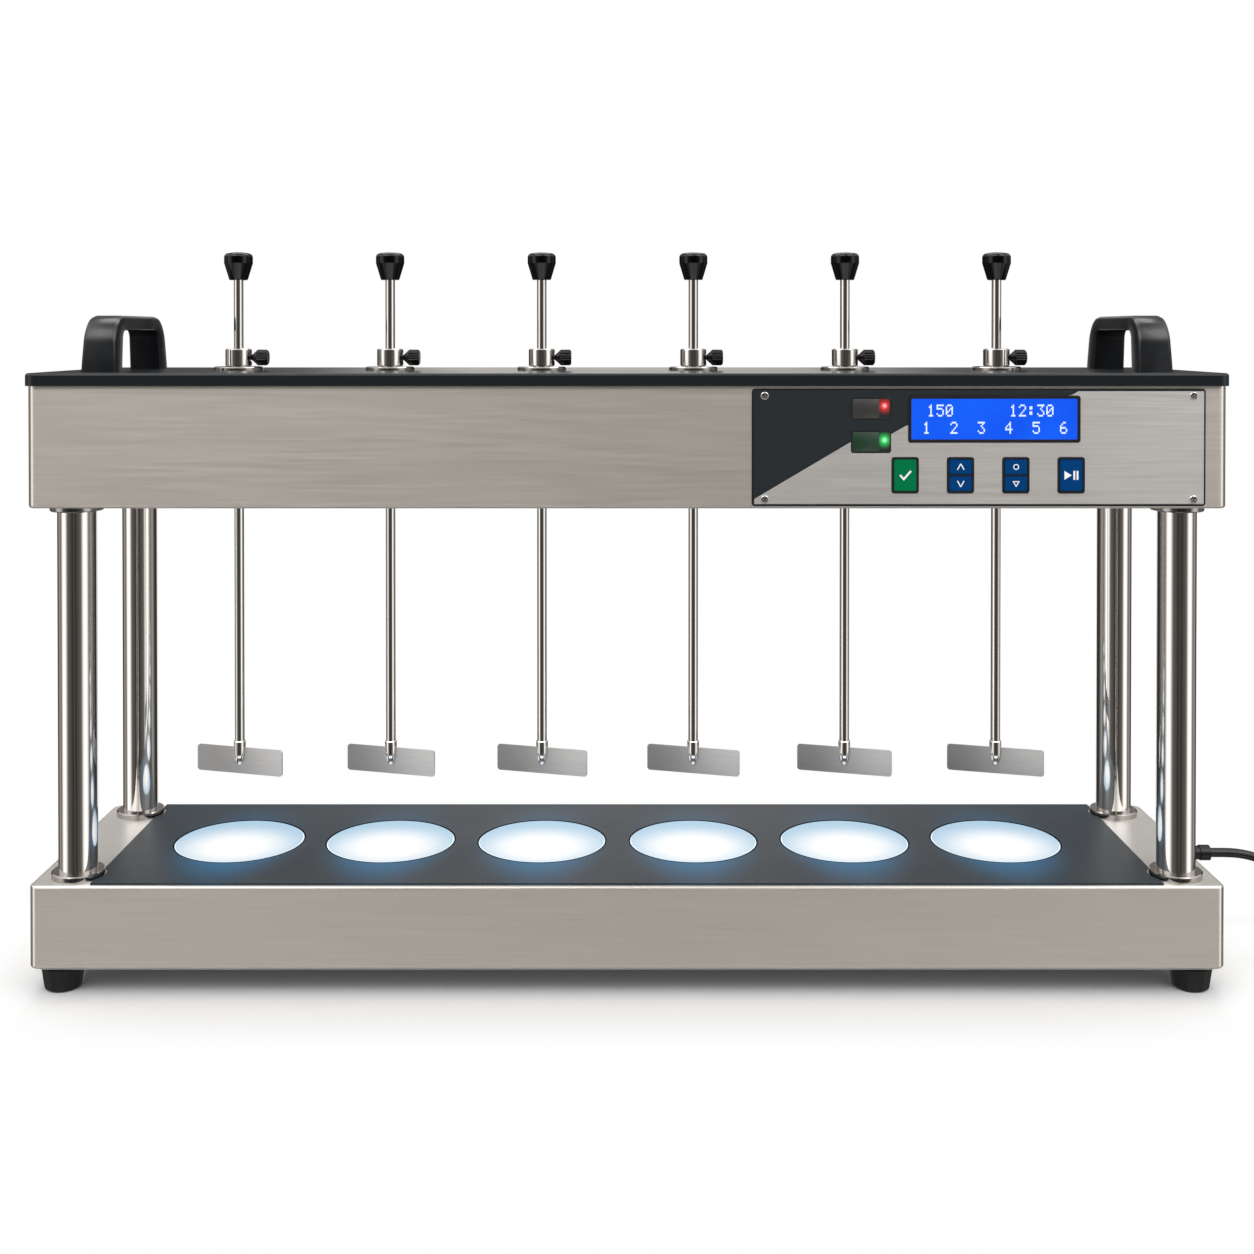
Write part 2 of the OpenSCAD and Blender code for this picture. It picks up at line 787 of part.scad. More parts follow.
module panel_frame() {
    rim_front = panel_front - rim_out;
    rim_t = panel_t + rim_out;
    lamp_front = panel_front + panel_t - lamp_plate_t;
    color("#141517") translate([panel_x, 0, panel_z]) difference() {
        union() {
            upright_plate(panel_w, panel_h, panel_r + border, frame_front, frame_t);
            translate([-window_w/2 + run_gap, front_y, -window_h/2 + run_gap])
                cube([window_w - 2*run_gap, block_t, window_h - 2*run_gap]);
            translate([display_px, 0, display_pz])
                upright_plate(display_w, display_h, rim_r, rim_front, rim_t);
            at_keys() upright_plate(key_w, key_h, rim_r, rim_front, rim_t);
            for (pz = lamps_pz) translate([lamps_px, 0, pz])
                upright_plate(lamp_window_w, lamp_window_h, rim_r, panel_front, panel_t);
            for (px = boss_px) translate([px, block_back, boss_pz]) rotate([-90, 0, 0])
                cylinder(d = boss_d, h = boss_l);
        }
        translate([display_px, 0, display_pz]) panel_cut(display_w - 2*display_rim,
            display_h - 2*display_rim, rim_r/2, 0);
        for (k = [0:3], w = key_wells(k)) translate([key_px(k), 0, keys_pz + w[0]])
            panel_cut(key_w - 2*key_rim, w[1], key_r, 0);
        for (i = [0, 1]) translate([lamps_px, 0, lamps_pz[i]]) {
            upright_plate(lamp_window_w - 2*lamp_rim, lamp_window_h - 2*lamp_rim, rim_r/2,
                panel_front - over, lamp_plate_t + over);
            translate([lamp_shift[i][0], front_y - over - panel_t, lamp_shift[i][1]])
                rotate([-90, 0, 0]) cylinder(d = lamp_d + 2*fit_gap, h = block_t + 2*over + panel_t);
        }
        panel_screw_holes();
    }
}

module panel_screws() {
    color("#9b9da0") for (sx = [-1, 1], sz = [-1, 1])
        translate([panel_x + sx*screw_px, panel_front, panel_z + sz*screw_pz]) difference() {
            rotate([90, 0, 0]) union() {
                rotate_extrude() polygon(concat([[0, 0]],
                    [[panel_screw_d/2, 0]],
                    arc([panel_screw_d/2 - panel_screw_h, 0], panel_screw_h, 0, 90),
                    [[0, panel_screw_h]]));
                translate([0, 0, -panel_screw_l])
                    cylinder(d = panel_screw_shank, h = panel_screw_l + panel_screw_h/2);
            }
            for (a = [0, 90]) rotate([0, a, 0])
                translate([-screw_cross_l/2, -panel_screw_h - over, -screw_cross/2])
                    cube([screw_cross_l, screw_cross_depth + over, screw_cross]);
        }
}

module display_screen() {
    w = display_w - 2*display_rim - 2*fit_gap;
    h = display_h - 2*display_rim - 2*fit_gap;
    front = panel_front - rim_out + screen_recess;
    color("#1c55ff") translate([panel_x + display_px, 0, panel_z + display_pz]) {
        upright_plate(w, h, rim_r/2, front, block_back - front);
        upright_plate(w + 2*screen_flange, h + 2*screen_flange, rim_r, block_back, screen_flange_t);
    }
}

module indicator_windows() {
    color("#3b4040") translate([panel_x, 0, panel_z]) for (i = [0, 1])
        translate([lamps_px, 0, lamps_pz[i]]) difference() {
            upright_plate(lamp_window_w - 2*lamp_rim - 2*fit_gap,
                lamp_window_h - 2*lamp_rim - 2*fit_gap, rim_r/2, panel_front, lamp_plate_t);
            translate([lamp_shift[i][0], panel_front + lamp_plate_t + over, lamp_shift[i][1]])
                rotate([90, 0, 0]) cylinder(d = lamp_d + 2*fit_gap, h = lamp_plate_t + 2*over);
        }
}

module indicator_lamps() {
    length = block_back - panel_front;
    translate([panel_x, 0, panel_z]) for (i = [0, 1]) color(["#ff2a2a", "#18e05a"][i])
        translate([lamps_px + lamp_shift[i][0], block_back, lamps_pz[i] + lamp_shift[i][1]])
            rotate([90, 0, 0]) rotate_extrude() polygon(concat(
                [[0, -screen_flange_t], [lamp_body_d/2, -screen_flange_t], [lamp_body_d/2, 0],
                    [lamp_d/2, 0]],
                [for (s = [0:arc_steps]) [lamp_d/2*cos(90*s/arc_steps),
                    length + key_out*sin(90*s/arc_steps)]]));
}

module control_board() {
    board_front = block_back + boss_l;
    color("#1d6b3c") translate([panel_x, 0, panel_z]) {
        translate([-pcb_size[0]/2, board_front, -pcb_size[2]/2]) cube(pcb_size);
        for (px = chip_px) translate([px - chip_size[0]/2, board_front + board_t,
            -chip_size[2]/2]) cube(chip_size);
    }
}

// Key with a dished face, a body that slides in the frame and wings behind it
module key_cap(k, well) {
    w = key_w - 2*key_rim - 2*run_gap;
    h = well[1] - 2*run_gap;
    front = panel_front - key_out;
    wing_front = block_back + run_gap;
    stem_l = boss_l - run_gap - key_wing_t - 2*key_travel;
    translate([panel_x + key_px(k), 0, panel_z + keys_pz + well[0]]) {
        upright_plate(w, h, key_r, front, wing_front - front);
        translate([-w/2 - key_wing, wing_front, -h/2]) cube([w + 2*key_wing, key_wing_t, h]);
        translate([0, wing_front + key_wing_t, 0]) rotate([-90, 0, 0])
            cylinder(d = stem_d, h = stem_l);
    }
}

module ok_key() {
    color("#0a8447") key_cap(0, key_wells(0)[0]);
}

module speed_up_key() {
    color("#0d4180") key_cap(1, key_wells(1)[0]);
}

module speed_down_key() {
    color("#0d4180") key_cap(1, key_wells(1)[1]);
}

module menu_up_key() {
    color("#0d4180") key_cap(2, key_wells(2)[0]);
}

module menu_down_key() {
    color("#0d4180") key_cap(2, key_wells(2)[1]);
}

module start_key() {
    color("#0d4180") key_cap(3, key_wells(3)[0]);
}

module drive_motor() {
    screw_at = motor_foot/2 - motor_screw_d;
    color("#6f7378") translate([motor_x, 0, floor_top]) {
        translate([-motor_foot/2, -motor_foot/2, 0]) cube([motor_foot, motor_foot, motor_foot_t]);
        cylinder(d = motor_d, h = motor_h);
        cylinder(d = motor_d - 4*motor_cap_h, h = motor_h + motor_cap_h);
        cylinder(d = motor_shaft_d, h = pulley_z + pulley_h/2 + motor_cap_h);
        at_corners(screw_at, screw_at) cylinder(d = motor_screw_d, h = motor_foot_t + motor_screw_h);
    }
}

// Flanged belt pulley about its own middle, with bore B
module pulley(b) {
    edge = pulley_h/2;
    groove = edge - pulley_flange_t;
    rotate_extrude() polygon([[b/2, -edge], [pulley_d/2 + flange_out, -edge],
        [pulley_d/2 + flange_out, -groove], [pulley_d/2, -groove], [pulley_d/2, groove],
        [pulley_d/2 + flange_out, groove], [pulley_d/2 + flange_out, edge], [b/2, edge]]);
}

module motor_pulley() {
    color("#a5a8ab") translate([motor_x, 0, pulley_mid]) pulley(motor_shaft_d + 2*fit_gap);
}

// Endless belt: straight runs along both sides of the row and a half turn at each end
module drive_belt() {
    inner = pulley_d/2 + run_gap;
    end_x = station_x(stations);
    color("#1e1e1f") translate([0, 0, pulley_mid - belt_w/2]) {
        for (s = [-1, 1]) translate([motor_x, s > 0 ? inner : -inner - belt_t, 0])
            cube([end_x - motor_x, belt_t, belt_w]);
        translate([end_x, 0, 0]) rotate([0, 0, -90]) rotate_extrude(angle = 180)
            translate([inner, 0]) square([belt_t, belt_w]);
        translate([motor_x, 0, 0]) rotate([0, 0, 90]) rotate_extrude(angle = 180)
            translate([inner, 0]) square([belt_t, belt_w]);
    }
}

// Hollow spindle with its belt pulley and the collar that clamps the stirrer rod
module spindle(i) {
    bore = rod_d + 2*fit_gap;
    edge = pulley_h/2;
    groove = edge - pulley_flange_t;
    color("#c4c2be") translate([station_x(i), 0, 0]) difference() {
        rotate_extrude() polygon([[bore/2, spindle_low], [spindle_d/2, spindle_low],
            [spindle_d/2, pulley_mid - edge], [pulley_d/2 + flange_out, pulley_mid - edge],
            [pulley_d/2 + flange_out, pulley_mid - groove], [pulley_d/2, pulley_mid - groove],
            [pulley_d/2, pulley_mid + groove], [pulley_d/2 + flange_out, pulley_mid + groove],
            [pulley_d/2 + flange_out, pulley_mid + edge], [spindle_d/2, pulley_mid + edge],
            [spindle_d/2, collar_low], [collar_d/2 - collar_edge, collar_low],
            [collar_d/2, collar_low + collar_edge], [collar_d/2, collar_top - collar_edge],
            [collar_d/2 - collar_edge, collar_top], [bore/2, collar_top]]);
        translate([0, 0, screw_z]) rotate([0, 90, 0])
            cylinder(d = thumb_screw_d + 2*fit_gap, h = collar_d);
        translate([collar_d/2 - screw_seat, 0, screw_z]) rotate([0, 90, 0])
            cylinder(d = screw_seat_d, h = collar_d);
    }
}

// Stirrer rod with its pointed sleeve and the blade welded into it
module paddle(i) {
    sleeve_top = sleeve_end + sleeve_tip + sleeve_l;
    color("#b8b8b6") translate([station_x(i), 0, 0]) union() {
        rotate_extrude() polygon(concat(
            [for (s = [0:2*arc_steps]) let (u = s/(2*arc_steps))
                [sleeve_d/2*sqrt(u*(2 - u)), sleeve_end + sleeve_tip*u]],
            [[sleeve_d/2, sleeve_top - collar_edge], [sleeve_d/2 - collar_edge/2, sleeve_top],
                [rod_d/2, sleeve_top], [rod_d/2, rod_top], [0, rod_top]]));
        rotate([0, 0, blade_turn]) translate([0, blade_t/2, blade_mid]) rotate([90, 0, 0])
            linear_extrude(blade_t) rounded_rect(blade_l, blade_h, blade_r);
    }
}

// Tapered grip knob with a straight band under its round shoulder
module knob(i) {
    low = lid_top + knob_z;
    top_r = knob_d/2 - knob_shoulder_r;
    color("#111113") translate([station_x(i), 0, low]) rotate_extrude() polygon(concat(
        [[0, knob_seat], [rod_d/2 + fit_gap, knob_seat], [rod_d/2 + fit_gap, 0],
            [knob_low_d/2 - knob_lip, 0], [knob_low_d/2, knob_lip],
            [knob_d/2, knob_band_low_share*knob_h]],
        arc([top_r, knob_h - knob_dome - knob_shoulder_r], knob_shoulder_r, 0, 90),
        [for (s = [1:arc_steps]) [top_r*(1 - s/arc_steps),
            knob_h - knob_dome*pow(1 - s/arc_steps, 2)]]));
}

// Clamping screw with a knurled head, on its own axis along +X
module thumb_screw(i) {
    tip = rod_d/2 + run_gap;
    neck = collar_d/2 + run_gap;
    head = neck + thumb_neck;
    color("#17181a") translate([station_x(i), 0, screw_z]) rotate([0, 90, 0]) {
        translate([0, 0, tip]) cylinder(d = thumb_screw_d, h = head - tip);
        translate([0, 0, neck]) cylinder(d1 = thumb_screw_d + knurl_depth, d2 = thumb_d - 4*knurl_depth,
            h = thumb_neck);
        translate([0, 0, head]) intersection() {
            linear_extrude(thumb_l) polygon([for (t = [0:2*knurl_count - 1])
                let (r = thumb_d/2 - (t % 2)*knurl_depth, a = 180*t/knurl_count) r*[cos(a), sin(a)]]);
            rotate_extrude() polygon([[0, 0], [thumb_d/2 - 2*knurl_depth, 0],
                [thumb_d/2, 2*knurl_depth], [thumb_d/2, thumb_l - 2*knurl_depth],
                [thumb_d/2 - 2*knurl_depth, thumb_l], [0, thumb_l]]);
        }
    }
}

// Strain relief: a nut inside the wall, a flange outside and a ribbed taper to its last collar
module cord_gland() {
    neck_d = gland_hole_d - 2*run_gap;
    flange_d = relief_d + 2*gland_flange_t;
    taper_l = relief_l - gland_flange_t - relief_collar_l;
    nut_low = -sheet_t - gland_nut_h;
    color("#18191b") translate([body_w/2, gland_y, gland_z]) rotate([0, 90, 0]) difference() {
        union() {
            translate([0, 0, nut_low]) cylinder(d = flange_d, h = gland_nut_h, $fn = 6);
            translate([0, 0, nut_low]) cylinder(d = neck_d, h = gland_flange_t - nut_low);
            cylinder(d = flange_d, h = gland_flange_t);
            translate([0, 0, gland_flange_t]) cylinder(d1 = relief_d - 2*rib_depth,
                d2 = relief_end_d - 2*rib_depth, h = taper_l);
            for (k = [0:rib_count - 1]) translate([0, 0, gland_flange_t + k*taper_l/rib_count])
                cylinder(d = relief_d + (relief_end_d - relief_d)*k/rib_count, h = rib_w);
            translate([0, 0, relief_l - relief_collar_l]) cylinder(d = relief_end_d, h = relief_collar_l);
        }
        translate([0, 0, nut_low - over])
            cylinder(d = cord_d, h = relief_l - relief_collar_l/2 - nut_low + over);
    }
}

// Tube of radius R with N sides through the points P, one ring on each
function unit(v) = v/norm(v);
function tube_dir(p, i) = unit(p[min(i + 1, len(p) - 1)] - p[max(i - 1, 0)]);
function tube_ring(p, i, r, n) = let (t = tube_dir(p, i), u = unit(cross([0, 0, 1], t)),
    v = cross(t, u)) [for (k = [0:n - 1]) let (a = 90 + 360*k/n) p[i] + r*(cos(a)*u + sin(a)*v)];

module tube(p, r, n) {
    rings = len(p);
    points = [for (i = [0:rings - 1]) each tube_ring(p, i, r, n)];
    sides = [for (i = [0:rings - 2], k = [0:n - 1]) let (a = i*n + k, b = i*n + (k + 1) % n)
        each [[a, a + n, b], [b, a + n, b + n]]];
    near_cap = [for (k = [1:n - 2]) [0, k, k + 1]];
    far = (rings - 1)*n;
    far_cap = [for (k = [1:n - 2]) [far, far + k + 1, far + k]];
    polyhedron(points, concat(sides, near_cap, far_cap), convexity = 4);
}

module power_cord() {
    steps = [for (i = [0:cord_ring_step:len(cord_route) - 2]) cord_route[i]];
    color("#151515") tube(concat(steps, [cord_route[len(cord_route) - 1]]), cord_d/2, cord_sides);
}

// Stored coil: in along the floor, up a layer in the half turn where it reverses, and out again
coil_pitch = cord_d + coil_gap;
coil_in_r = coil_r - coil_turns*coil_pitch/4;
coil_start = cord_route[len(cord_route) - 1];
coil_out_r = coil_in_r + coil_turns*coil_pitch/2;
coil_centre = [coil_start[0] + cord_d, coil_start[1] - coil_out_r, coil_start[2]];

// Radius and height of the coil after T turns
function wound_r(t) = coil_in_r + abs(t - coil_turns/2)*coil_pitch;
function wound_z(t) = coil_pitch*min(1, max(0, (t - coil_turns/2)*2 + 0.5));
function wound(t) = let (a = 90 - 360*t)
    coil_centre + [wound_r(t)*cos(a), wound_r(t)*sin(a), wound_z(t)];

coil_steps = coil_turns*rings_per_turn;
coil_loop = [for (i = [0:coil_steps]) wound(i/rings_per_turn)];
coil_end = coil_loop[len(coil_loop) - 1];
coil_points = concat([coil_start], coil_loop,
    [coil_end - [cord_d, 0, 0], coil_end - [plug_run, 0, 0]]);

// Least gap of the coil to itself, between points more than a third of a turn apart
coil_least = min([for (i = [0:len(coil_loop) - 1], j = [i + rings_per_turn/3:len(coil_loop) - 1])
    norm(coil_loop[i] - coil_loop[j])]) - cord_d;
function path_length(p, i = 1) = i >= len(p) ? 0 : norm(p[i] - p[i - 1]) + path_length(p, i + 1);
echo(least_gap_of_the_coil_to_itself = coil_least);
echo(cord_length = path_length(cord_route) + path_length(coil_points));

module cord_coil() {
    color("#151515") tube(coil_points, cord_d/2, coil_sides);
}

// Moulded plug with a grooved neck, two flat pins and a round earth pin, pointing along -X
module mains_plug() {
    color("#151515") translate(coil_points[len(coil_points) - 1]) rotate([0, -90, 0]) {
        difference() {
            union() {
                cylinder(d = plug_neck_d, h = plug_neck_l);
                translate([0, 0, plug_neck_l/2])
                    cylinder(d1 = plug_neck_d, d2 = plug_waist_d, h = plug_neck_l/2);
            }
            for (k = [1:plug_grooves]) translate([0, 0, k*2*plug_groove_w - plug_groove_w])
                ring(plug_neck_d + over, plug_neck_d - plug_groove, plug_groove_w);
        }
        translate([0, 0, plug_neck_l]) linear_extrude(plug_body_l)
            rounded_rect(plug_w, plug_w, plug_round);
        for (s = [-1, 1])
            translate([pin_rise - flat_pin[2]/2, s*flat_pin_gap/2 - flat_pin[1]/2,
                plug_neck_l + plug_body_l])
                cube([flat_pin[2], flat_pin[1], flat_pin[0]]);
        translate([-earth_drop, 0, plug_neck_l + plug_body_l]) cylinder(d = earth_pin_d, h = earth_pin_l);
    }
}

base_housing();
base_cover();
deck_plate();
light_windows();
light_cups();
light_boards();
feet();
posts();
post_flanges();
tie_rods();
power_supply();
head_housing();
lid();
carry_handles();
bearing_flanges();
spindle_bearings();
control_panel();
panel_frame();
panel_screws();
display_screen();
indicator_windows();
indicator_lamps();
control_board();
drive_motor();
drive_belt();
motor_pulley();
cord_gland();
power_cord();
cord_coil();
mains_plug();
ok_key();
speed_up_key();
speed_down_key();
menu_up_key();
menu_down_key();
start_key();
for (i = [1:stations]) {
    spindle(i);
    paddle(i);
    knob(i);
    thumb_screw(i);
}
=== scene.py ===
"""Looks of a six-place jar tester: lit base, polished posts, stirring head and control panel.

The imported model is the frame. Every length is in metres unless its name ends in _mm.
"""

import logging
import math
from dataclasses import dataclass, field
from enum import Enum
from typing import Callable, Iterable, Sequence

import bmesh
import bpy
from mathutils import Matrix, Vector


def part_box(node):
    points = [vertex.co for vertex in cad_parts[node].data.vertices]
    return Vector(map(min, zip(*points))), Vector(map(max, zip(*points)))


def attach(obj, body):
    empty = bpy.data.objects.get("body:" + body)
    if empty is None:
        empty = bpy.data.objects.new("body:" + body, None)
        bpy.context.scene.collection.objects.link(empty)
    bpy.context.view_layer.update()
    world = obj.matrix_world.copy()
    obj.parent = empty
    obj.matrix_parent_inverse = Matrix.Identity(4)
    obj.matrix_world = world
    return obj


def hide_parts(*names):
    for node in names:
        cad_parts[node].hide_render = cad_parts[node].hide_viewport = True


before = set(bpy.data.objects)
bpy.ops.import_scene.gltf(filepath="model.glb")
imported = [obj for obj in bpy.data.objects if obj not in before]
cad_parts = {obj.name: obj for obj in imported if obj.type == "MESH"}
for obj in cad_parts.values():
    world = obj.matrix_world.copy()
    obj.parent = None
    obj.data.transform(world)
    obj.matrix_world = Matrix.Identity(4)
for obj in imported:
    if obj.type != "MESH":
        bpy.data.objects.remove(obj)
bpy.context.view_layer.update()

LOG = logging.getLogger("jar_tester")
MM = 0.001
STAND = "stand"
STATIONS = 6
PLACES = range(1, STATIONS + 1)
FINE_BUMP = 0.000004

Point = tuple[float, float, float]
Flat = tuple[float, float]
Span = tuple[float, float]
Table = tuple[tuple[float, float], ...]
Colour = tuple[float, float, float]
Socket = bpy.types.NodeSocket

BLACK: Colour = (0.0, 0.0, 0.0)
WHITE: Colour = (1.0, 1.0, 1.0)


class Lamp(Enum):
    """The two indicator lamps, each with its colour."""

    RED = (1.0, 0.02, 0.02)
    GREEN = (0.02, 0.85, 0.15)


@dataclass(frozen=True)
class Row:
    """Row of stirring stations along X."""

    first_x: float = -0.328
    pitch: float = 0.128

    def x(self, place: int) -> float:
        """X of a station, counted from 1 at the left."""
        return self.first_x + (place - 1) * self.pitch


ROW = Row()


# --------------------------------------------------------------------------- shader building


@dataclass
class Canvas:
    """Places nodes in one shader tree and joins them."""

    tree: bpy.types.NodeTree
    spot: Socket | None = None

    def put(self, kind: str, inputs: dict | None = None, **settings: object) -> bpy.types.Node:
        """Adds a node.

        Args:
            kind: The node's type without its ShaderNode prefix.
            inputs: Values or source sockets by input name or number.
            settings: Properties of the node.

        Returns:
            The new node.
        """
        node = self.tree.nodes.new("ShaderNode" + kind)
        for key, value in settings.items():
            setattr(node, key, value)
        self.feed(node, inputs or {})
        return node

    def feed(self, node: bpy.types.Node, inputs: dict) -> None:
        """Sets or links inputs of a node.

        Args:
            node: The node to feed.
            inputs: Values or source sockets by input name or number.
        """
        for key, value in inputs.items():
            if isinstance(value, bpy.types.NodeSocket):
                self.tree.links.new(value, node.inputs[key])
            else:
                node.inputs[key].default_value = value

    def maths(self, operation: str, *values: object, clamp: bool = False) -> Socket:
        """Result of a Math node on numbers or sockets."""
        node = self.put("Math", dict(enumerate(values)), operation=operation, use_clamp=clamp)
        return node.outputs[0]

    def times(self, first: object, second: object) -> Socket:
        """Product of two numbers or sockets."""
        return self.maths("MULTIPLY", first, second)

    def plus(self, first: object, second: object) -> Socket:
        """Sum of two numbers or sockets."""
        return self.maths("ADD", first, second)

    def minus(self, first: object, second: object) -> Socket:
        """Difference of two numbers or sockets."""
        return self.maths("SUBTRACT", first, second)

    def length(self, across: Socket, along: Socket) -> Socket:
        """Length of a flat vector."""
        square = self.maths("MULTIPLY_ADD", across, across, self.times(along, along))
        return self.maths("SQRT", square)

    def vector(self, operation: str, *values: object) -> Socket:
        """Vector result of a Vector Math node."""
        return self.put("VectorMath", dict(enumerate(values)), operation=operation).outputs[0]

    def between(self, value: object, low: float, high: float) -> Socket:
        """Smooth step of a value that rises from 0 at low to 1 at high."""
        inputs = {"Value": value, "From Min": low, "From Max": high}
        node = self.put("MapRange", inputs, interpolation_type="SMOOTHSTEP")
        return node.outputs["Result"]

    def span(self, value: object, low: float, high: float) -> Socket:
        """Straight mapping of a value from 0..1 to low..high."""
        inputs = {"Value": value, "To Min": low, "To Max": high}
        return self.put("MapRange", inputs).outputs["Result"]

    def mix(self, share: object, low: object, high: object) -> Socket:
        """Colour between low and high."""
        node = self.put("Mix", data_type="RGBA")
        self.feed(node, {0: share, 6: rgba(low), 7: rgba(high)})
        return node.outputs[2]

    def mottle(self, share: Socket, colour: Colour, low: float, high: float = 1.0) -> Socket:
        """Colour between two shades of one colour."""
        return self.mix(share, shade(colour, low), shade(colour, high))

    def noise(self, vector: Socket, scale: object, detail: float) -> Socket:
        """Value of a noise texture."""
        inputs = {"Vector": vector, "Scale": scale, "Detail": detail}
        return self.put("TexNoise", inputs).outputs[0]

    def place(self) -> Socket:
        """Object coordinates, from one node for the whole tree."""
        if self.spot is None:
            self.spot = self.put("TexCoord").outputs["Object"]
        return self.spot

    def parts(self, vector: Socket) -> list[Socket]:
        """X, Y and Z of a vector."""
        return list(self.put("SeparateXYZ", {0: vector}).outputs)

    def normal(self) -> list[Socket]:
        """X, Y and Z of the surface's normal."""
        return self.parts(self.put("NewGeometry").outputs["Normal"])

    def ramp(self, value: object, stops: Sequence[tuple[float, Colour]]) -> Socket:
        """Colour ramp through the stops, each a place from 0 to 1 and a colour."""
        node = self.put("ValToRGB", {0: value})
        row = node.color_ramp.elements
        for element, (spot, colour) in zip(row, (stops[0], stops[-1])):
            element.position, element.color = spot, rgba(colour)
        for spot, colour in stops[1:-1]:
            row.new(spot).color = rgba(colour)
        return node.outputs[0]

    def effect(self, kind: "Effect", **inputs: object) -> dict[str, Socket]:
        """Places a shared shader group on Object coordinates.

        Args:
            kind: Which group.
            inputs: Its other inputs by name.

        Returns:
            Its output sockets by name.
        """
        node = self.put("Group", node_tree=group(kind))
        self.feed(node, {"Place": self.place(), **inputs})
        return {socket.name: socket for socket in node.outputs}


def rgba(colour: object) -> object:
    """A colour of three numbers with its alpha, or whatever else was given."""
    return (*colour, 1.0) if isinstance(colour, tuple) and len(colour) == 3 else colour


def shade(colour: Colour, factor: float, lift: float = 0.0) -> Colour:
    """A colour times a factor plus a lift, at most 1."""
    return tuple(min(1.0, c * factor + lift) for c in colour)


def grey(level: float) -> Colour:
    """A grey of one level."""
    return (level, level, level)


def blank(holder: bpy.types.Material | bpy.types.World) -> Canvas:
    """Canvas on the emptied node tree of a material or world."""
    holder.use_nodes = True
    holder.node_tree.nodes.clear()
    return Canvas(holder.node_tree)


class Effect(Enum):
    """Shader groups that more than one finish uses, by the group's name."""

    BRUSHING = "brushing"
    CLOUDING = "clouding"
    ROUNDING = "edge rounding"
    PEBBLING = "pebbling"
    DUSTING = "dusting"


def brushing(canvas: Canvas, given: dict[str, Socket]) -> dict[str, Socket]:
    """Fine and coarse lines of a brushed sheet, stretched along the grain."""
    fine = canvas.vector("MULTIPLY", given["Place"], given["Stretch"])
    coarse = canvas.vector("MULTIPLY", fine, (0.37, 0.11, 0.11))
    lines, bands = canvas.noise(fine, 1.0, 3.0), canvas.noise(coarse, 1.0, 2.0)
    both = canvas.plus(canvas.times(lines, 0.92), canvas.times(bands, 0.08))
    return {"Tone": canvas.between(both, 0.3, 0.7), "Height": lines}


def clouding(canvas: Canvas, given: dict[str, Socket]) -> dict[str, Socket]:
    """Slow variation from handling and cleaning."""
    cloud = canvas.noise(given["Place"], given["Scale"], 3.0)
    return {"Tone": canvas.between(cloud, 0.32, 0.68)}


def rounding(canvas: Canvas, given: dict[str, Socket]) -> dict[str, Socket]:
    """Rounded shading at an edge and a patchy mask of the edge, which finishes use both for wear
    and for a painted edge highlight.
    """
    soft = canvas.put("Bevel", {"Radius": given["Radius"]}, samples=4).outputs[0]
    flat = canvas.put("NewGeometry").outputs["Normal"]
    dot = canvas.put("VectorMath", {0: soft, 1: flat}, operation="DOT_PRODUCT")
    worn_and_highlit = canvas.between(canvas.minus(1.0, dot.outputs["Value"]), 0.02, 0.25)
    patchy = canvas.between(canvas.noise(given["Place"], 420.0, 2.0), 0.3, 0.62)
    return {"Normal": soft, "Edge": canvas.times(worn_and_highlit, patchy)}


def pebbling(canvas: Canvas, given: dict[str, Socket]) -> dict[str, Socket]:
    """Fine eroded texture of a plastic mould or a powder coat: small cells under a noise."""
    place, scale = given["Place"], given["Scale"]
    cells = canvas.put("TexVoronoi", {"Vector": place, "Scale": scale}, feature="SMOOTH_F1")
    both = canvas.plus(cells.outputs["Distance"], canvas.noise(place, scale, 2.0))
    return {"Height": both, "Tone": canvas.between(both, 0.5, 1.3)}


def dusting(canvas: Canvas, given: dict[str, Socket]) -> dict[str, Socket]:
    """Thin dust that settles in patches on faces that look up."""
    up = canvas.between(canvas.normal()[2], 0.4, 0.95)
    patchy = canvas.between(canvas.noise(given["Place"], 60.0, 5.0), 0.42, 0.75)
    return {"Dust": canvas.times(up, patchy)}


@dataclass(frozen=True)
class Recipe:
    """How a shared group is made: its filling and the types of its sockets by name."""

    fill: Callable[[Canvas, dict[str, Socket]], dict[str, Socket]]
    inputs: dict[str, str]
    outputs: dict[str, str]


RECIPES: dict[Effect, Recipe] = {
    Effect.BRUSHING: Recipe(brushing, {"Stretch": "Vector"}, {"Tone": "Float", "Height": "Float"}),
    Effect.CLOUDING: Recipe(clouding, {"Scale": "Float"}, {"Tone": "Float"}),
    Effect.ROUNDING: Recipe(rounding, {"Radius": "Float"}, {"Normal": "Vector", "Edge": "Float"}),
    Effect.PEBBLING: Recipe(pebbling, {"Scale": "Float"}, {"Height": "Float", "Tone": "Float"}),
    Effect.DUSTING: Recipe(dusting, {}, {"Dust": "Float"}),
}


def group(kind: Effect) -> bpy.types.NodeTree:
    """The shader group of an effect, built the first time it is asked for."""
    known = bpy.data.node_groups.get(kind.value)
    if known:
        return known
    recipe = RECIPES[kind]
    tree = bpy.data.node_groups.new(kind.value, "ShaderNodeTree")
    for way, sockets in (("INPUT", {"Place": "Vector", **recipe.inputs}),
                         ("OUTPUT", recipe.outputs)):
        for label, socket in sockets.items():
            tree.interface.new_socket(label, in_out=way, socket_type="NodeSocket" + socket)
    entry, leave = tree.nodes.new("NodeGroupInput"), tree.nodes.new("NodeGroupOutput")
    canvas = Canvas(tree)
    canvas.feed(leave, recipe.fill(canvas, dict(entry.outputs.items())))
    return tree


# --------------------------------------------------------------------------------- finishes


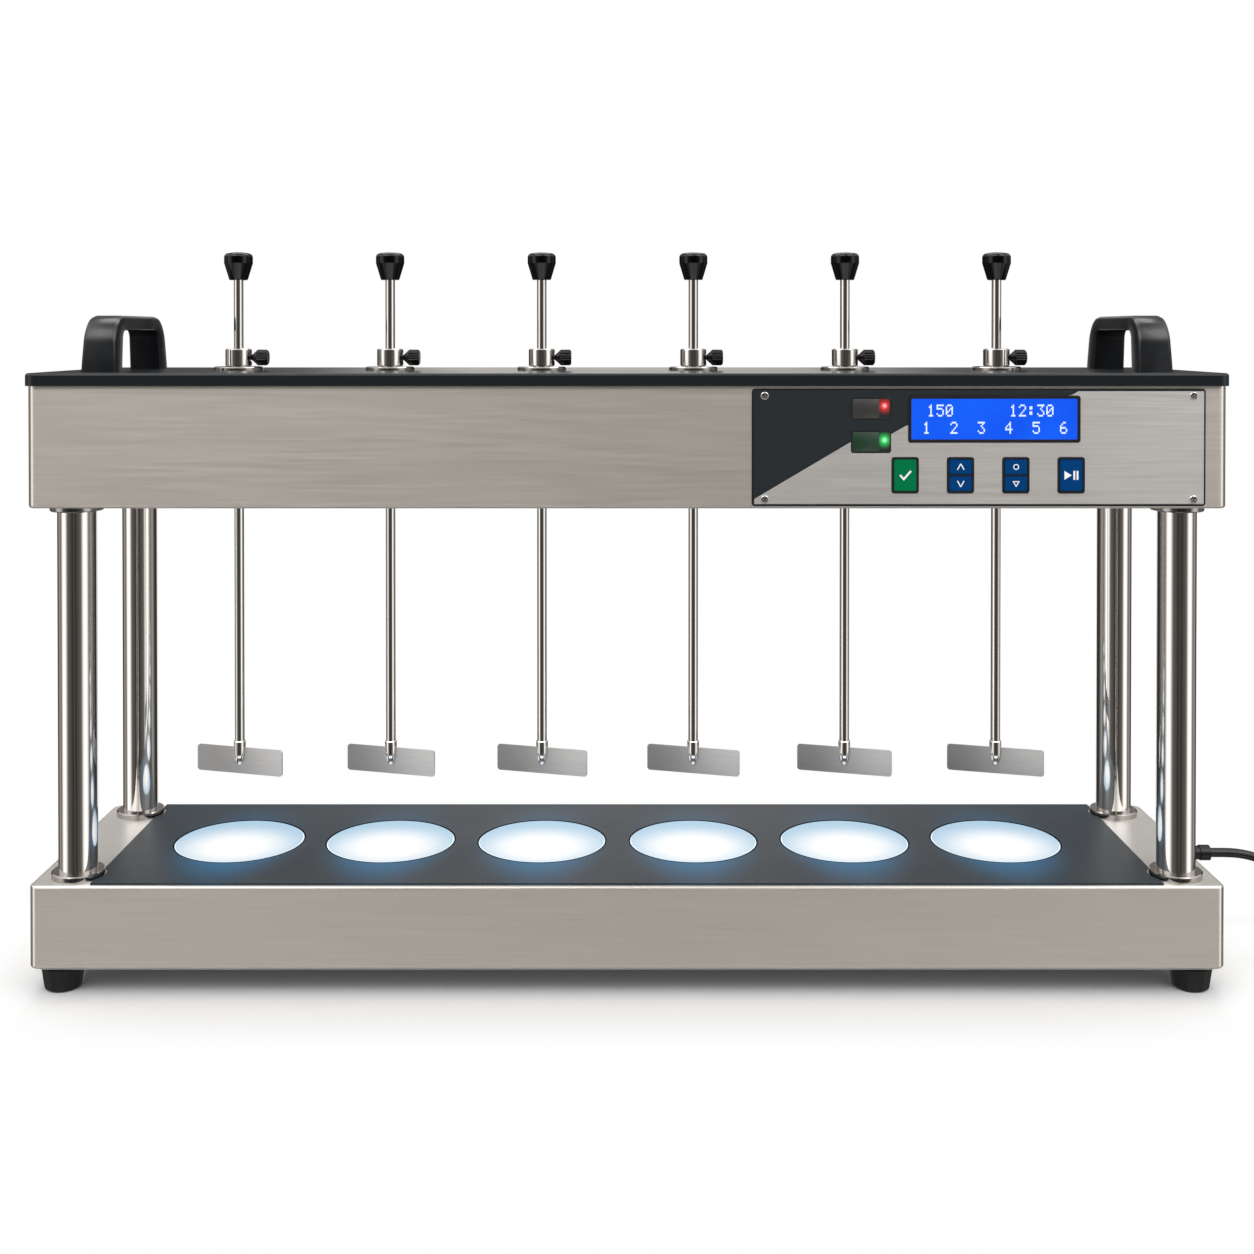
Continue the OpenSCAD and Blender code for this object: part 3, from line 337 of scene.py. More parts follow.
@dataclass(frozen=True)
class Finish:
    """A surface: its name, its main colour and its roughness."""

    name: str
    colour: Colour
    roughness: float = 0.4

    def make(self) -> bpy.types.Material:
        """The material, built the first time it is asked for."""
        title = "finish_" + self.name
        known = bpy.data.materials.get(title)
        if known:
            return known
        material = bpy.data.materials.new(title)
        material.diffuse_color = rgba(self.colour)
        canvas = blank(material)
        plain = {"Base Color": rgba(self.colour), "Roughness": self.roughness}
        shader = canvas.put("BsdfPrincipled", plain)
        canvas.put("OutputMaterial", {"Surface": shader.outputs[0]})
        self.dress(canvas, shader)
        return material

    def dress(self, canvas: Canvas, shader: bpy.types.Node) -> None:
        """Adds the surface's own detail to its shader."""
        raise NotImplementedError

    def rough(self, canvas: Canvas, share: Socket, low: float, high: float) -> Socket:
        """Roughness that strays from the surface's own, from low to high."""
        return canvas.span(share, max(0.02, self.roughness + low), self.roughness + high)

    def bump(self, canvas: Canvas, height: Socket, distance: float,
             normal: Socket | None = None) -> Socket:
        """Normal of a bump.

        Args:
            canvas: The material's canvas.
            height: Height socket.
            distance: Height of the bump in metres.
            normal: Normal that the bump starts from.

        Returns:
            The normal socket.
        """
        inputs = {"Height": height, "Distance": distance}
        if normal is not None:
            inputs["Normal"] = normal
        return canvas.put("Bump", inputs).outputs[0]

    def lay_over(self, canvas: Canvas, shader: bpy.types.Node, mask: Socket, colour: Socket,
                 roughness: float) -> None:
        """Lays another colour and roughness over what a shader has.

        Args:
            canvas: The material's canvas.
            shader: The shader, with its colour and roughness linked.
            mask: Where the new surface lies, from 0 to 1.
            colour: Colour of the new surface.
            roughness: Roughness of the new surface.
        """
        under, rough = (shader.inputs[name].links[0].from_socket
                        for name in ("Base Color", "Roughness"))
        mixed = canvas.put("Mix", {0: mask, 2: rough, 3: roughness})
        canvas.feed(shader, {"Base Color": canvas.mix(mask, under, colour),
                             "Roughness": mixed.outputs[0]})


@dataclass(frozen=True)
class BrushedSteel(Finish):
    """Stainless sheet brushed along X."""

    along: float = 5.0
    across: float = 1100.0
    contrast: float = 0.12
    anisotropy: float = 0.65
    depth: float = 0.000012
    edge_radius: float = 0.0005
    painted_top_tint: Colour = WHITE
    bend_gloss: float = 1.0
    bend_span: Span = (0.1, 0.4)
    flat_from: float = 0.7
    cloud_tint: Colour = (1.02, 0.985, 0.95)
    cloud_share: float = 0.12
    tangent: Flat = (0.35, 1.0)

    def bend(self, canvas: Canvas) -> Socket:
        """Share from 0 on flat walls to 1 in the middle of an upright bend."""
        x, y, _ = canvas.normal()
        return canvas.between(canvas.maths("ABSOLUTE", canvas.times(x, y)), *self.bend_span)

    def flatness(self, canvas: Canvas) -> Socket:
        """1 on faces that look up or down, else 0."""
        up = canvas.maths("ABSOLUTE", canvas.normal()[2])
        return canvas.maths("GREATER_THAN", up, self.flat_from)

    def stretch(self, canvas: Canvas) -> Socket:
        """Scale of the grain: level lines on upright faces, lines along X on flat ones."""
        along, across = self.along, self.across
        return canvas.mix(self.flatness(canvas), (along, along, across), (along, across, across))

    def tone(self, canvas: Canvas) -> tuple[Socket, Socket, Socket]:
        """Colour, line tone and line height of the brushed sheet, with a painted reflection tint
        on faces that look up or down.
        """
        lines = canvas.effect(Effect.BRUSHING, Stretch=self.stretch(canvas))
        cloud = canvas.effect(Effect.CLOUDING, Scale=7.0)["Tone"]
        lined = canvas.mottle(lines["Tone"], self.colour, 1.0 - self.contrast, 1.0 + self.contrast)
        warm = tuple(c * tint for c, tint in zip(self.colour, self.cloud_tint))
        clouded = canvas.mix(canvas.times(cloud, self.cloud_share), lined, warm)
        # Painted reflection: faces that look up or down take a tint in their colour.
        tint = canvas.mix(self.flatness(canvas), WHITE, self.painted_top_tint)
        return canvas.vector("MULTIPLY", clouded, tint), lines["Tone"], lines["Height"]

    def dress(self, canvas: Canvas, shader: bpy.types.Node) -> None:
        """Brushed colour, lined roughness, rounded edges."""
        colour, tone, height = self.tone(canvas)
        edge = canvas.effect(Effect.ROUNDING, Radius=self.edge_radius)
        across = canvas.put("CombineXYZ", dict(zip("YZ", self.tangent)))
        polish = canvas.span(self.bend(canvas), 1.0, self.bend_gloss)
        canvas.feed(shader, {
            "Base Color": colour,
            "Metallic": 1.0,
            "Roughness": canvas.times(self.rough(canvas, tone, -0.02, 0.025), polish),
            "Anisotropic": self.anisotropy,
            "Tangent": across.outputs[0],
            "Normal": self.bump(canvas, height, self.depth, edge["Normal"]),
        })


@dataclass(frozen=True)
class PolishedSteel(Finish):
    """Polished stainless with faint turning marks and finger haze."""

    ring_scale: float = 1100.0
    ring_depth: float = 0.0000004
    edge_radius: float = 0.0

    def dress(self, canvas: Canvas, shader: bpy.types.Node) -> None:
        """Mirror with a slow haze and very shallow rings."""
        haze = canvas.effect(Effect.CLOUDING, Scale=26.0)["Tone"]
        rings = canvas.effect(Effect.BRUSHING, Stretch=(40.0, 40.0, self.ring_scale))
        edge = None
        if self.edge_radius:
            edge = canvas.effect(Effect.ROUNDING, Radius=self.edge_radius)["Normal"]
        canvas.feed(shader, {
            "Base Color": canvas.mottle(canvas.times(rings["Tone"], 0.2), self.colour, 1.0, 0.88),
            "Metallic": 1.0,
            "Roughness": self.rough(canvas, haze, 0.0, 0.05),
            "Normal": self.bump(canvas, rings["Height"], self.ring_depth, edge),
        })


@dataclass(frozen=True)
class StirrerSteel(PolishedSteel):
    """Polished rod whose blade is satin, with painted shade at the blade's left end and painted
    light at its right.
    """

    blade_colour: Colour = (0.85, 0.85, 0.85)
    painted_blade_shading: Span = (0.58, 1.15)
    line_shade: float = 0.93
    blade_half_l: float = 0.036
    blade_roughness: float = 0.5
    blade_turn_deg: float = -16.0
    half_t: float = 0.0011
    sleeve_r: float = 0.0049
    tip_z: float = 0.152
    tip_l: float = 0.0125
    slack: float = 0.0001

    def blade(self, canvas: Canvas, off: Socket) -> Socket:
        """Mask of the blade, beyond the pointed sleeve, by the distance off the rod's axis."""
        _, y, z = canvas.parts(canvas.place())
        turn = math.radians(self.blade_turn_deg)
        side = canvas.minus(canvas.times(y, math.cos(turn)), canvas.times(off, math.sin(turn)))
        share = canvas.maths("DIVIDE", canvas.minus(z, self.tip_z), self.tip_l, clamp=True)
        bulge = canvas.maths("SQRT", canvas.times(share, canvas.minus(2.0, share)))
        sleeve = canvas.maths("MULTIPLY_ADD", bulge, self.sleeve_r, self.slack)
        beyond = canvas.maths("GREATER_THAN", canvas.length(off, y), sleeve)
        thin = canvas.maths("LESS_THAN", canvas.maths("ABSOLUTE", side), self.half_t)
        return canvas.times(beyond, thin)

    def dress(self, canvas: Canvas, shader: bpy.types.Node) -> None:
        """Lays the blade's satin, painted darker at its left end and lighter at its right, over
        the rod's polish.
        """
        super().dress(canvas, shader)
        first, half = ROW.first_x, ROW.pitch / 2
        wrapped = canvas.maths("WRAP", canvas.parts(canvas.place())[0], first + half, first - half)
        off = canvas.minus(wrapped, first)
        lines = canvas.effect(Effect.BRUSHING, Stretch=(60.0, 60.0, 1500.0))["Tone"]
        # Painted light and shade: the blade's colour runs from a shaded left end to a lit right
        # end.
        ends = [canvas.mottle(lines, self.blade_colour, factor * self.line_shade, factor)
                for factor in self.painted_blade_shading]
        satin = canvas.mix(canvas.between(off, -self.blade_half_l, self.blade_half_l), *ends)
        self.lay_over(canvas, shader, self.blade(canvas, off), satin, self.blade_roughness)


@dataclass(frozen=True)
class SatinPaint(Finish):
    """Baked satin paint on sheet metal, with edges lightened as both wear and painted highlight,
    and a little dust.
    """

    level: float = 0.4
    wear_and_highlight_share: float = 0.35
    edge_radius: float = 0.0006
    dust: float = 0.05
    bare_and_highlight_colour: Colour = (0.3, 0.31, 0.32)
    dust_colour: Colour = (0.45, 0.44, 0.42)

    def dress(self, canvas: Canvas, shader: bpy.types.Node) -> None:
        """Mottled paint, lightened at its edges as both wear and painted highlight, and dusty on
        top.
        """
        grain = canvas.effect(Effect.PEBBLING, Scale=1900.0)
        cloud = canvas.effect(Effect.CLOUDING, Scale=11.0)["Tone"]
        edge = canvas.effect(Effect.ROUNDING, Radius=self.edge_radius)
        dust = canvas.effect(Effect.DUSTING)["Dust"]
        body = canvas.mottle(grain["Tone"], self.colour, 0.9, 1.12)
        # Painted highlight and wear: the edge mask lightens the paint towards a bare, pale colour.
        worn_and_highlit = canvas.mix(canvas.times(edge["Edge"], self.wear_and_highlight_share), body, self.bare_and_highlight_colour)
        canvas.feed(shader, {
            "Base Color": canvas.mix(canvas.times(dust, self.dust), worn_and_highlit, self.dust_colour),
            "Roughness": self.rough(canvas, cloud, -0.015, 0.02),
            "Specular IOR Level": self.level,
            "Normal": self.bump(canvas, grain["Height"], 0.00001, edge["Normal"]),
        })


@dataclass(frozen=True)
class DeckPaint(SatinPaint):
    """Satin deck with a blue glow painted round each window as the light spilling over its edge.
    """

    reach: float = 0.105
    core: float = 0.035
    sideways: float = 1.45
    ahead: float = 0.75
    behind: float = 0.3
    turn_over: float = 0.03
    painted_glow_colour: Colour = (0.0, 0.10, 0.22)

    def dress(self, canvas: Canvas, shader: bpy.types.Node) -> None:
        """Paint plus a painted blue glow, as emission, before and behind the nearest window."""
        super().dress(canvas, shader)
        x, y, _ = canvas.parts(canvas.place())
        steps = canvas.maths("DIVIDE", canvas.minus(x, ROW.first_x), ROW.pitch)
        above = canvas.maths("MAXIMUM", canvas.maths("ROUND", steps), 0.0)
        nearest = canvas.maths("MINIMUM", above, STATIONS - 1.0)
        centre = canvas.maths("MULTIPLY_ADD", nearest, ROW.pitch, ROW.first_x)
        off = canvas.times(canvas.minus(x, centre), self.sideways)
        far = canvas.length(off, canvas.times(y, self.ahead))
        near = canvas.between(far, self.reach, self.core)
        side = canvas.span(canvas.between(y, self.turn_over, -self.turn_over), self.behind, 1.0)
        share = canvas.times(canvas.times(near, near), side)
        # Painted light: the windows' spill is emitted by the deck paint, fading with distance and
        # weaker behind.
        canvas.feed(shader, {"Emission Color": canvas.mix(share, BLACK, self.painted_glow_colour),
                             "Emission Strength": 1.0})


@dataclass(frozen=True)
class MouldedPlastic(Finish):
    """Moulded plastic with a fine texture, soft edges and a little gloss."""

    texture: float = 0.000012
    scale: float = 2400.0
    coat: float = 0.0
    level: float = 0.5
    edge_radius: float = 0.0004
    highlight: float = 0.15

    def dress(self, canvas: Canvas, shader: bpy.types.Node) -> None:
        """Pebbled colour and bump, edges lightened as both rubbing and painted highlight."""
        grain = canvas.effect(Effect.PEBBLING, Scale=self.scale)
        cloud = canvas.effect(Effect.CLOUDING, Scale=40.0)["Tone"]
        edge = canvas.effect(Effect.ROUNDING, Radius=self.edge_radius)
        body = canvas.mottle(grain["Tone"], self.colour, 0.88, 1.15)
        # Painted highlight and rubbing: the patchy edge mask lightens the colour by the highlight
        # share.
        rubbed_and_highlit = shade(self.colour, 1.6, 0.02)
        canvas.feed(shader, {
            "Base Color": canvas.mix(canvas.times(edge["Edge"], self.highlight), body, rubbed_and_highlit),
            "Roughness": self.rough(canvas, cloud, -0.03, 0.05),
            "Specular IOR Level": self.level,
            "Coat Weight": self.coat,
            "Coat Roughness": 0.06,
            "Normal": self.bump(canvas, grain["Height"], self.texture, edge["Normal"]),
        })


@dataclass(frozen=True)
class OpalWindow(Finish):
    """Lit opal disc: white near its front, pale blue towards its far edge."""

    edge_colour: Colour = (0.345, 0.55, 0.72)
    strength: float = 0.92
    body: float = 0.1
    squeeze: Span = (0.86, 0.92)
    forward: float = 0.3
    fade: Span = (0.22, 1.08)

    def dress(self, canvas: Canvas, shader: bpy.types.Node) -> None:
        """Glow by the disc's own UV map, whose circle of radius 1 is the rim."""
        u, v, _ = canvas.parts(canvas.put("UVMap").outputs[0])
        across = canvas.times(u, self.squeeze[0])
        ahead = canvas.times(canvas.plus(v, self.forward), self.squeeze[1])
        dim = canvas.between(canvas.length(across, ahead), *self.fade)
        grain = canvas.effect(Effect.PEBBLING, Scale=900.0)
        canvas.feed(shader, {
            "Base Color": canvas.mottle(grain["Tone"], grey(self.body), 0.92),
            "Emission Color": canvas.mix(dim, self.colour, self.edge_colour),
            "Emission Strength": self.strength,
            "Specular IOR Level": 0.2,
            "Normal": self.bump(canvas, grain["Height"], FINE_BUMP),
        })


@dataclass(frozen=True)
class LitFace(Finish):
    """Lit face with a slow gradient, such as the display's backlight."""

    dark_colour: Colour = (0.004, 0.05, 0.75)
    strength: float = 1.0
    scale: float = 22.0

    def dress(self, canvas: Canvas, shader: bpy.types.Node) -> None:
        """Backlight that clouds a little and a fine cell grid."""
        cloud = canvas.effect(Effect.CLOUDING, Scale=self.scale)["Tone"]
        cells = canvas.effect(Effect.PEBBLING, Scale=1400.0)
        canvas.feed(shader, {
            "Base Color": canvas.mottle(cells["Tone"], self.colour, 0.12, 0.16),
            "Specular IOR Level": 0.15,
            "Emission Color": canvas.mix(cloud, self.dark_colour, self.colour),
            "Emission Strength": self.strength,
            "Normal": self.bump(canvas, cells["Height"], 0.000003),
        })


@dataclass(frozen=True)
class LampGlow(Finish):
    """Lens or window with emission round each lamp, by distance from the lamp's middle: the lit
    lamp on a lens, a painted halo of the lamp's light on a window.
    """

    spots: tuple[tuple[Point, Colour, float, float], ...] = ()
    power: float = 1.0

    def dress(self, canvas: Canvas, shader: bpy.types.Node) -> None:
        """Adds up the glow of every lamp."""
        glow: object = BLACK
        for centre, colour, reach, core in self.spots:
            gap = canvas.put("VectorMath", {0: canvas.place(), 1: centre}, operation="DISTANCE")
            near = canvas.between(gap.outputs["Value"], reach, core)
            glow = canvas.mix(canvas.maths("POWER", near, self.power), glow, colour)
        grain = canvas.effect(Effect.PEBBLING, Scale=1500.0)
        canvas.feed(shader, {
            "Base Color": canvas.mottle(grain["Tone"], self.colour, 0.9),
            "Emission Color": glow,
            "Emission Strength": 1.0,
            "Normal": self.bump(canvas, grain["Height"], FINE_BUMP),
        })


@dataclass(frozen=True)
class PrintedPlate(BrushedSteel):
    """Brushed panel plate with a dark field printed above a broken slanted line."""

    field_colour: Colour = (0.014, 0.019, 0.023)
    field_roughness: float = 0.5
    centre: Flat = (0.2735, 0.42925)
    half: Flat = (0.1765, 0.04575)
    border: float = 0.0019
    left: float = 0.098
    right: float = 0.3574
    low: float = 0.380
    high: float = 0.480
    line: tuple[Flat, ...] = (
        (0.098, 0.3888), (0.1741, 0.4338), (0.2056, 0.4400), (0.2174, 0.4466),
        (0.3459, 0.4703), (0.3574, 0.4775),
    )

    def dress(self, canvas: Canvas, shader: bpy.types.Node) -> None:
        """Brushed steel with the field masked by the line's height at each X."""
        super().dress(canvas, shader)
        x, _, z = canvas.parts(canvas.place())
        width, rise = self.right - self.left, self.high - self.low
        stops = [((px - self.left) / width, grey((pz - self.low) / rise)) for px, pz in self.line]
        share = canvas.put("MapRange", {"Value": x, "From Min": self.left, "From Max": self.right})
        level = canvas.parts(canvas.ramp(share.outputs[0], stops))[0]
        height = canvas.span(level, self.low, self.high)
        above = canvas.times(canvas.maths("GREATER_THAN", z, height),
                             canvas.maths("LESS_THAN", x, self.right))
        for spot, middle, half in zip((x, z), self.centre, self.half):
            off = canvas.maths("ABSOLUTE", canvas.minus(spot, middle))
            beyond = canvas.maths("GREATER_THAN", off, half - self.border)
            above = canvas.maths("MAXIMUM", above, beyond)
        grain = canvas.effect(Effect.PEBBLING, Scale=2000.0)["Tone"]
        ink = canvas.mottle(grain, self.field_colour, 0.88)
        self.lay_over(canvas, shader, above, ink, self.field_roughness)
        canvas.feed(shader, {"Metallic": canvas.minus(1.0, above), "Specular IOR Level": 0.2})


@dataclass(frozen=True)
class CordJacket(Finish):
    """Extruded jacket with faint draw lines along it, by its UV map."""

    def dress(self, canvas: Canvas, shader: bpy.types.Node) -> None:
        """Lines along the cord and a little mottling."""
        u, v, _ = canvas.parts(canvas.put("UVMap").outputs[0])
        along = canvas.put("CombineXYZ", {0: canvas.times(u, 3.0), 1: canvas.times(v, 60.0)})
        lines = canvas.noise(along.outputs[0], 1.0, 3.0)
        cloud = canvas.effect(Effect.CLOUDING, Scale=50.0)["Tone"]
        canvas.feed(shader, {
            "Base Color": canvas.mottle(cloud, self.colour, 0.8),
            "Roughness": self.rough(canvas, lines, -0.06, 0.08),
            "Normal": self.bump(canvas, lines, 0.00002),
        })


# The housing's tint on faces that look up or down is a painted cool reflection.
HOUSING = BrushedSteel("housing_steel", (0.66, 0.617, 0.572), 0.42, contrast=0.036, along=16.0,
                       painted_top_tint=(0.965, 1.02, 1.065), bend_gloss=0.5)
PANEL = PrintedPlate("panel_plate", (0.74, 0.722, 0.704), 0.42, contrast=0.05, along=16.0)
ZINC = BrushedSteel("zinc_plate", (0.55, 0.56, 0.57), 0.38, contrast=0.08, along=60.0,
                    across=400.0)
SUPPLY = BrushedSteel("supply_case", (0.5, 0.52, 0.54), 0.42, contrast=0.06)
POLISHED = PolishedSteel("polished_steel", (0.80, 0.775, 0.75), 0.045)
TURNED = PolishedSteel("turned_steel", (0.44, 0.42, 0.40), 0.11, ring_scale=1500.0,
                       edge_radius=0.0003)
STIRRER = StirrerSteel("stirrer_steel", (0.80, 0.775, 0.75), 0.05, ring_depth=0.00000002)
RING = PolishedSteel("ring_steel", (0.34, 0.325, 0.31), 0.09, ring_scale=1500.0,
                     edge_radius=0.0003)
SCREW = PolishedSteel("screw_steel", (0.62, 0.61, 0.60), 0.12, ring_scale=900.0,
                      edge_radius=0.0003)
PULLEY = PolishedSteel("turned_aluminium", (0.62, 0.62, 0.62), 0.28, edge_radius=0.0003)
LID = SatinPaint("lid_paint", (0.012, 0.0145, 0.017), 0.24, level=0.25, dust=0.012)
DECK = DeckPaint("deck_paint", (0.012, 0.025, 0.037), 0.4, level=0.41, wear_and_highlight_share=0.1, dust=0.01)
HANDLE = MouldedPlastic("handle_plastic", (0.010, 0.0115, 0.0145), 0.22, texture=0.000006,
                        level=0.48, highlight=0.4)
RIM = MouldedPlastic("rim_plastic", (0.006, 0.006, 0.007), 0.4, highlight=0.1)
KNOB = MouldedPlastic("knob_plastic", (0.001, 0.001, 0.0013), 0.11, texture=0.0000001, coat=0.35,
                      level=0.15, highlight=0.03)
THUMB = MouldedPlastic("thumb_plastic", (0.0025, 0.0025, 0.003), 0.26, texture=0.000001,
                       level=0.3, highlight=0.08)
RUBBER = MouldedPlastic("foot_rubber", (0.0035, 0.0035, 0.004), 0.38, texture=0.00002,
                        scale=1600.0, level=0.25)
BELT = MouldedPlastic("belt_rubber", (0.014, 0.014, 0.014), 0.62, texture=0.00004, scale=1200.0)
GLAND = MouldedPlastic("cord_plastic", (0.004, 0.004, 0.0045), 0.36, texture=0.00001, level=0.4)
# Black rubber for the rings that paint the shade of the gap round each window.
SHADE_RUBBER = MouldedPlastic("seal_rubber", (0.002, 0.002, 0.0023), 0.7, texture=0.00001, level=0.05,
                      highlight=0.05)
JACKET = CordJacket("cord_jacket", (0.005, 0.005, 0.0055), 0.38)
PIN = PolishedSteel("plug_pins", (0.78, 0.76, 0.72), 0.14)
CUP = MouldedPlastic("cup_plastic", (0.82, 0.82, 0.81), 0.4)
LIGHT_BOARD = MouldedPlastic("light_board", (0.66, 0.72, 0.67), 0.45)
CIRCUIT = MouldedPlastic("circuit_board", (0.012, 0.14, 0.045), 0.35)
MOTOR = SatinPaint("motor_paint", (0.09, 0.1, 0.11), 0.4)
OPAL = OpalWindow("opal_window", (1.0, 1.0, 1.0), 0.3)
RIM_LIGHT = LitFace("window_rim", (0.86, 0.95, 1.0), 0.25, dark_colour=(0.7, 0.86, 1.0),
                    strength=1.1)
DISPLAY = LitFace("display_backlight", (0.006, 0.105, 0.86), 0.3, dark_colour=(0.004, 0.08, 0.78))
PIXEL = LitFace("display_pixels", (0.78, 0.9, 1.0), 0.3, dark_colour=(0.66, 0.82, 1.0))
INK = MouldedPlastic("white_ink", (0.86, 0.88, 0.9), 0.45, texture=0.000002)
GREEN_KEY = MouldedPlastic("green_key", (0.0008, 0.155, 0.052), 0.5, level=0.03, highlight=0.5)
BLUE_KEY = MouldedPlastic("blue_key", (0.0005, 0.042, 0.165), 0.5, level=0.03, highlight=0.5)


# ---------------------------------------------------------------------------------- meshes


@dataclass
class Shape:
    """Points and faces of a mesh while it is built."""

    points: list[Point] = field(default_factory=list)
    faces: list[tuple[int, ...]] = field(default_factory=list)

    def add(self, points: Iterable[Sequence[float]], faces: Iterable[Sequence[int]]) -> None:
        """Adds points and the faces between them."""
        base = len(self.points)
        self.points += [tuple(p) for p in points]
        self.faces += [tuple(base + i for i in f) for f in faces]

    def loft(self, rings: Sequence[Sequence[Sequence[float]]], capped: bool = True,
             closed: bool = False) -> None:
        """Joins rings of equally many points.

        Args:
            rings: The rings, in order.
            capped: Whether the first and last ring are closed with a face.
            closed: Whether the last ring joins the first.
        """
        n, count = len(rings[0]), len(rings)
        faces = []
        for i in range(count if closed else count - 1):
            a, b = i * n, (i + 1) % count * n
            faces += [(a + k, a + (k + 1) % n, b + (k + 1) % n, b + k) for k in range(n)]
        if capped and not closed:
            faces += [tuple(range(n))[::-1], tuple(range((count - 1) * n, count * n))]
        self.add([p for ring in rings for p in ring], faces)

    def box(self, low: Point, high: Point) -> None:
        """Adds a box between two corners."""
        (x0, y0, z0), (x1, y1, z1) = low, high
        self.loft([[(x0, y0, z), (x1, y0, z), (x1, y1, z), (x0, y1, z)] for z in (z0, z1)])

    def piece(self, name: str, finish: Finish, body: str, slot: str,
              replaces: Sequence[str] = (), crease: float = 35.0) -> bpy.types.Object:
        """Makes the finished object.

        Args:
            name: Name of the piece.
            finish: Its surface.
            body: The moving body that it rides on.
            slot: Not used.
            replaces: CAD nodes that it stands for.
            crease: Angle in degrees above which an edge stays sharp.

        Returns:
            The new object.
        """
        mesh = bpy.data.meshes.new(name)
        shell = bmesh.new()
        corners = [shell.verts.new(p) for p in self.points]
        for face in self.faces:
            shell.faces.new([corners[i] for i in face])
        bmesh.ops.remove_doubles(shell, verts=shell.verts, dist=1e-7)
        bmesh.ops.recalc_face_normals(shell, faces=shell.faces)
        shell.to_mesh(mesh)
        shell.free()
        return finished(name, mesh, finish, body, replaces, crease)


def finished(name: str, mesh: bpy.types.Mesh, finish: Finish, body: str,
             replaces: Sequence[str] = (), crease: float = 35.0) -> bpy.types.Object:
    """Turns a mesh into a dressed piece that rides on a body.

    Args:
        name: Name of the piece.
        mesh: Its mesh, in place.
        finish: Its surface.
        body: The moving body that it rides on.
        replaces: CAD nodes that it stands for.
        crease: Angle in degrees above which an edge stays sharp.

    Returns:
        The new object.
    """
    mesh.name = name
    mesh.materials.clear()
    mesh.materials.append(finish.make())
    mesh.shade_smooth()
    mesh.set_sharp_from_angle(angle=math.radians(crease))
    piece = bpy.data.objects.new(name, mesh)
    bpy.context.scene.collection.objects.link(piece)
    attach(piece, body)
    if replaces:
        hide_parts(*replaces)
    LOG.info("%s: %d faces on %s", name, len(mesh.polygons), body)
    return piece


def dress_nodes(finishes: dict[str, Finish]) -> None:
    """Gives CAD nodes their surfaces.

    Args:
        finishes: The surface of each node, by the node's name.
    """
    for node, finish in finishes.items():
        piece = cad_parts[node]
        if not piece.material_slots:
            piece.data.materials.append(finish.make())
        for place in piece.material_slots:
            place.material = finish.make()
        LOG.info("%s: dressed as %s", node, finish.name)


def turns(sides: int) -> list[float]:
    """Angles of evenly spaced points round a circle, in radians."""
    return [2 * math.pi * k / sides for k in range(sides)]


def circle(radius: float, sides: int) -> list[Flat]:
    """Evenly spaced points round a circle about the origin."""
    return [(radius * math.cos(t), radius * math.sin(t)) for t in turns(sides)]


def arc(centre: Flat, radius: float, start: float, end: float, steps: int) -> list[Flat]:
    """Points on an arc, from one angle to another in degrees."""
    angles = [math.radians(start + (end - start) * i / steps) for i in range(steps + 1)]
    return [(centre[0] + radius * math.cos(a), centre[1] + radius * math.sin(a)) for a in angles]


def round_rect(width: float, height: float, radius: float, steps: int = 6) -> list[Flat]:
    """Outline of a rectangle with round corners, about its middle."""
    x, y = width / 2 - radius, height / 2 - radius
    corners = ((x, y, 0), (-x, y, 90), (-x, -y, 180), (x, -y, 270))
    return [p for cx, cy, a in corners for p in arc((cx, cy), radius, a, a + 90, steps)]


def sweep(path: Sequence[Vector], radius: float, sides: int) -> list[list[Vector]]:
    """Rings of a tube along a path, without twist.

    Args:
        path: Points of the centre line.
        radius: Radius of the tube.
        sides: Points on each ring.

    Returns:
        One ring of points at each point of the path.
    """
    rings, side = [], Vector((0.0, 1.0, 0.0))
    last = len(path) - 1
    for i, point in enumerate(path):
        along = (path[min(i + 1, last)] - path[max(i - 1, 0)]).normalized()
        side = (side - along * side.dot(along)).normalized()
        up = along.cross(side)
        rings.append([point + radius * (math.cos(t) * side + math.sin(t) * up)
                      for t in turns(sides)])
    return rings


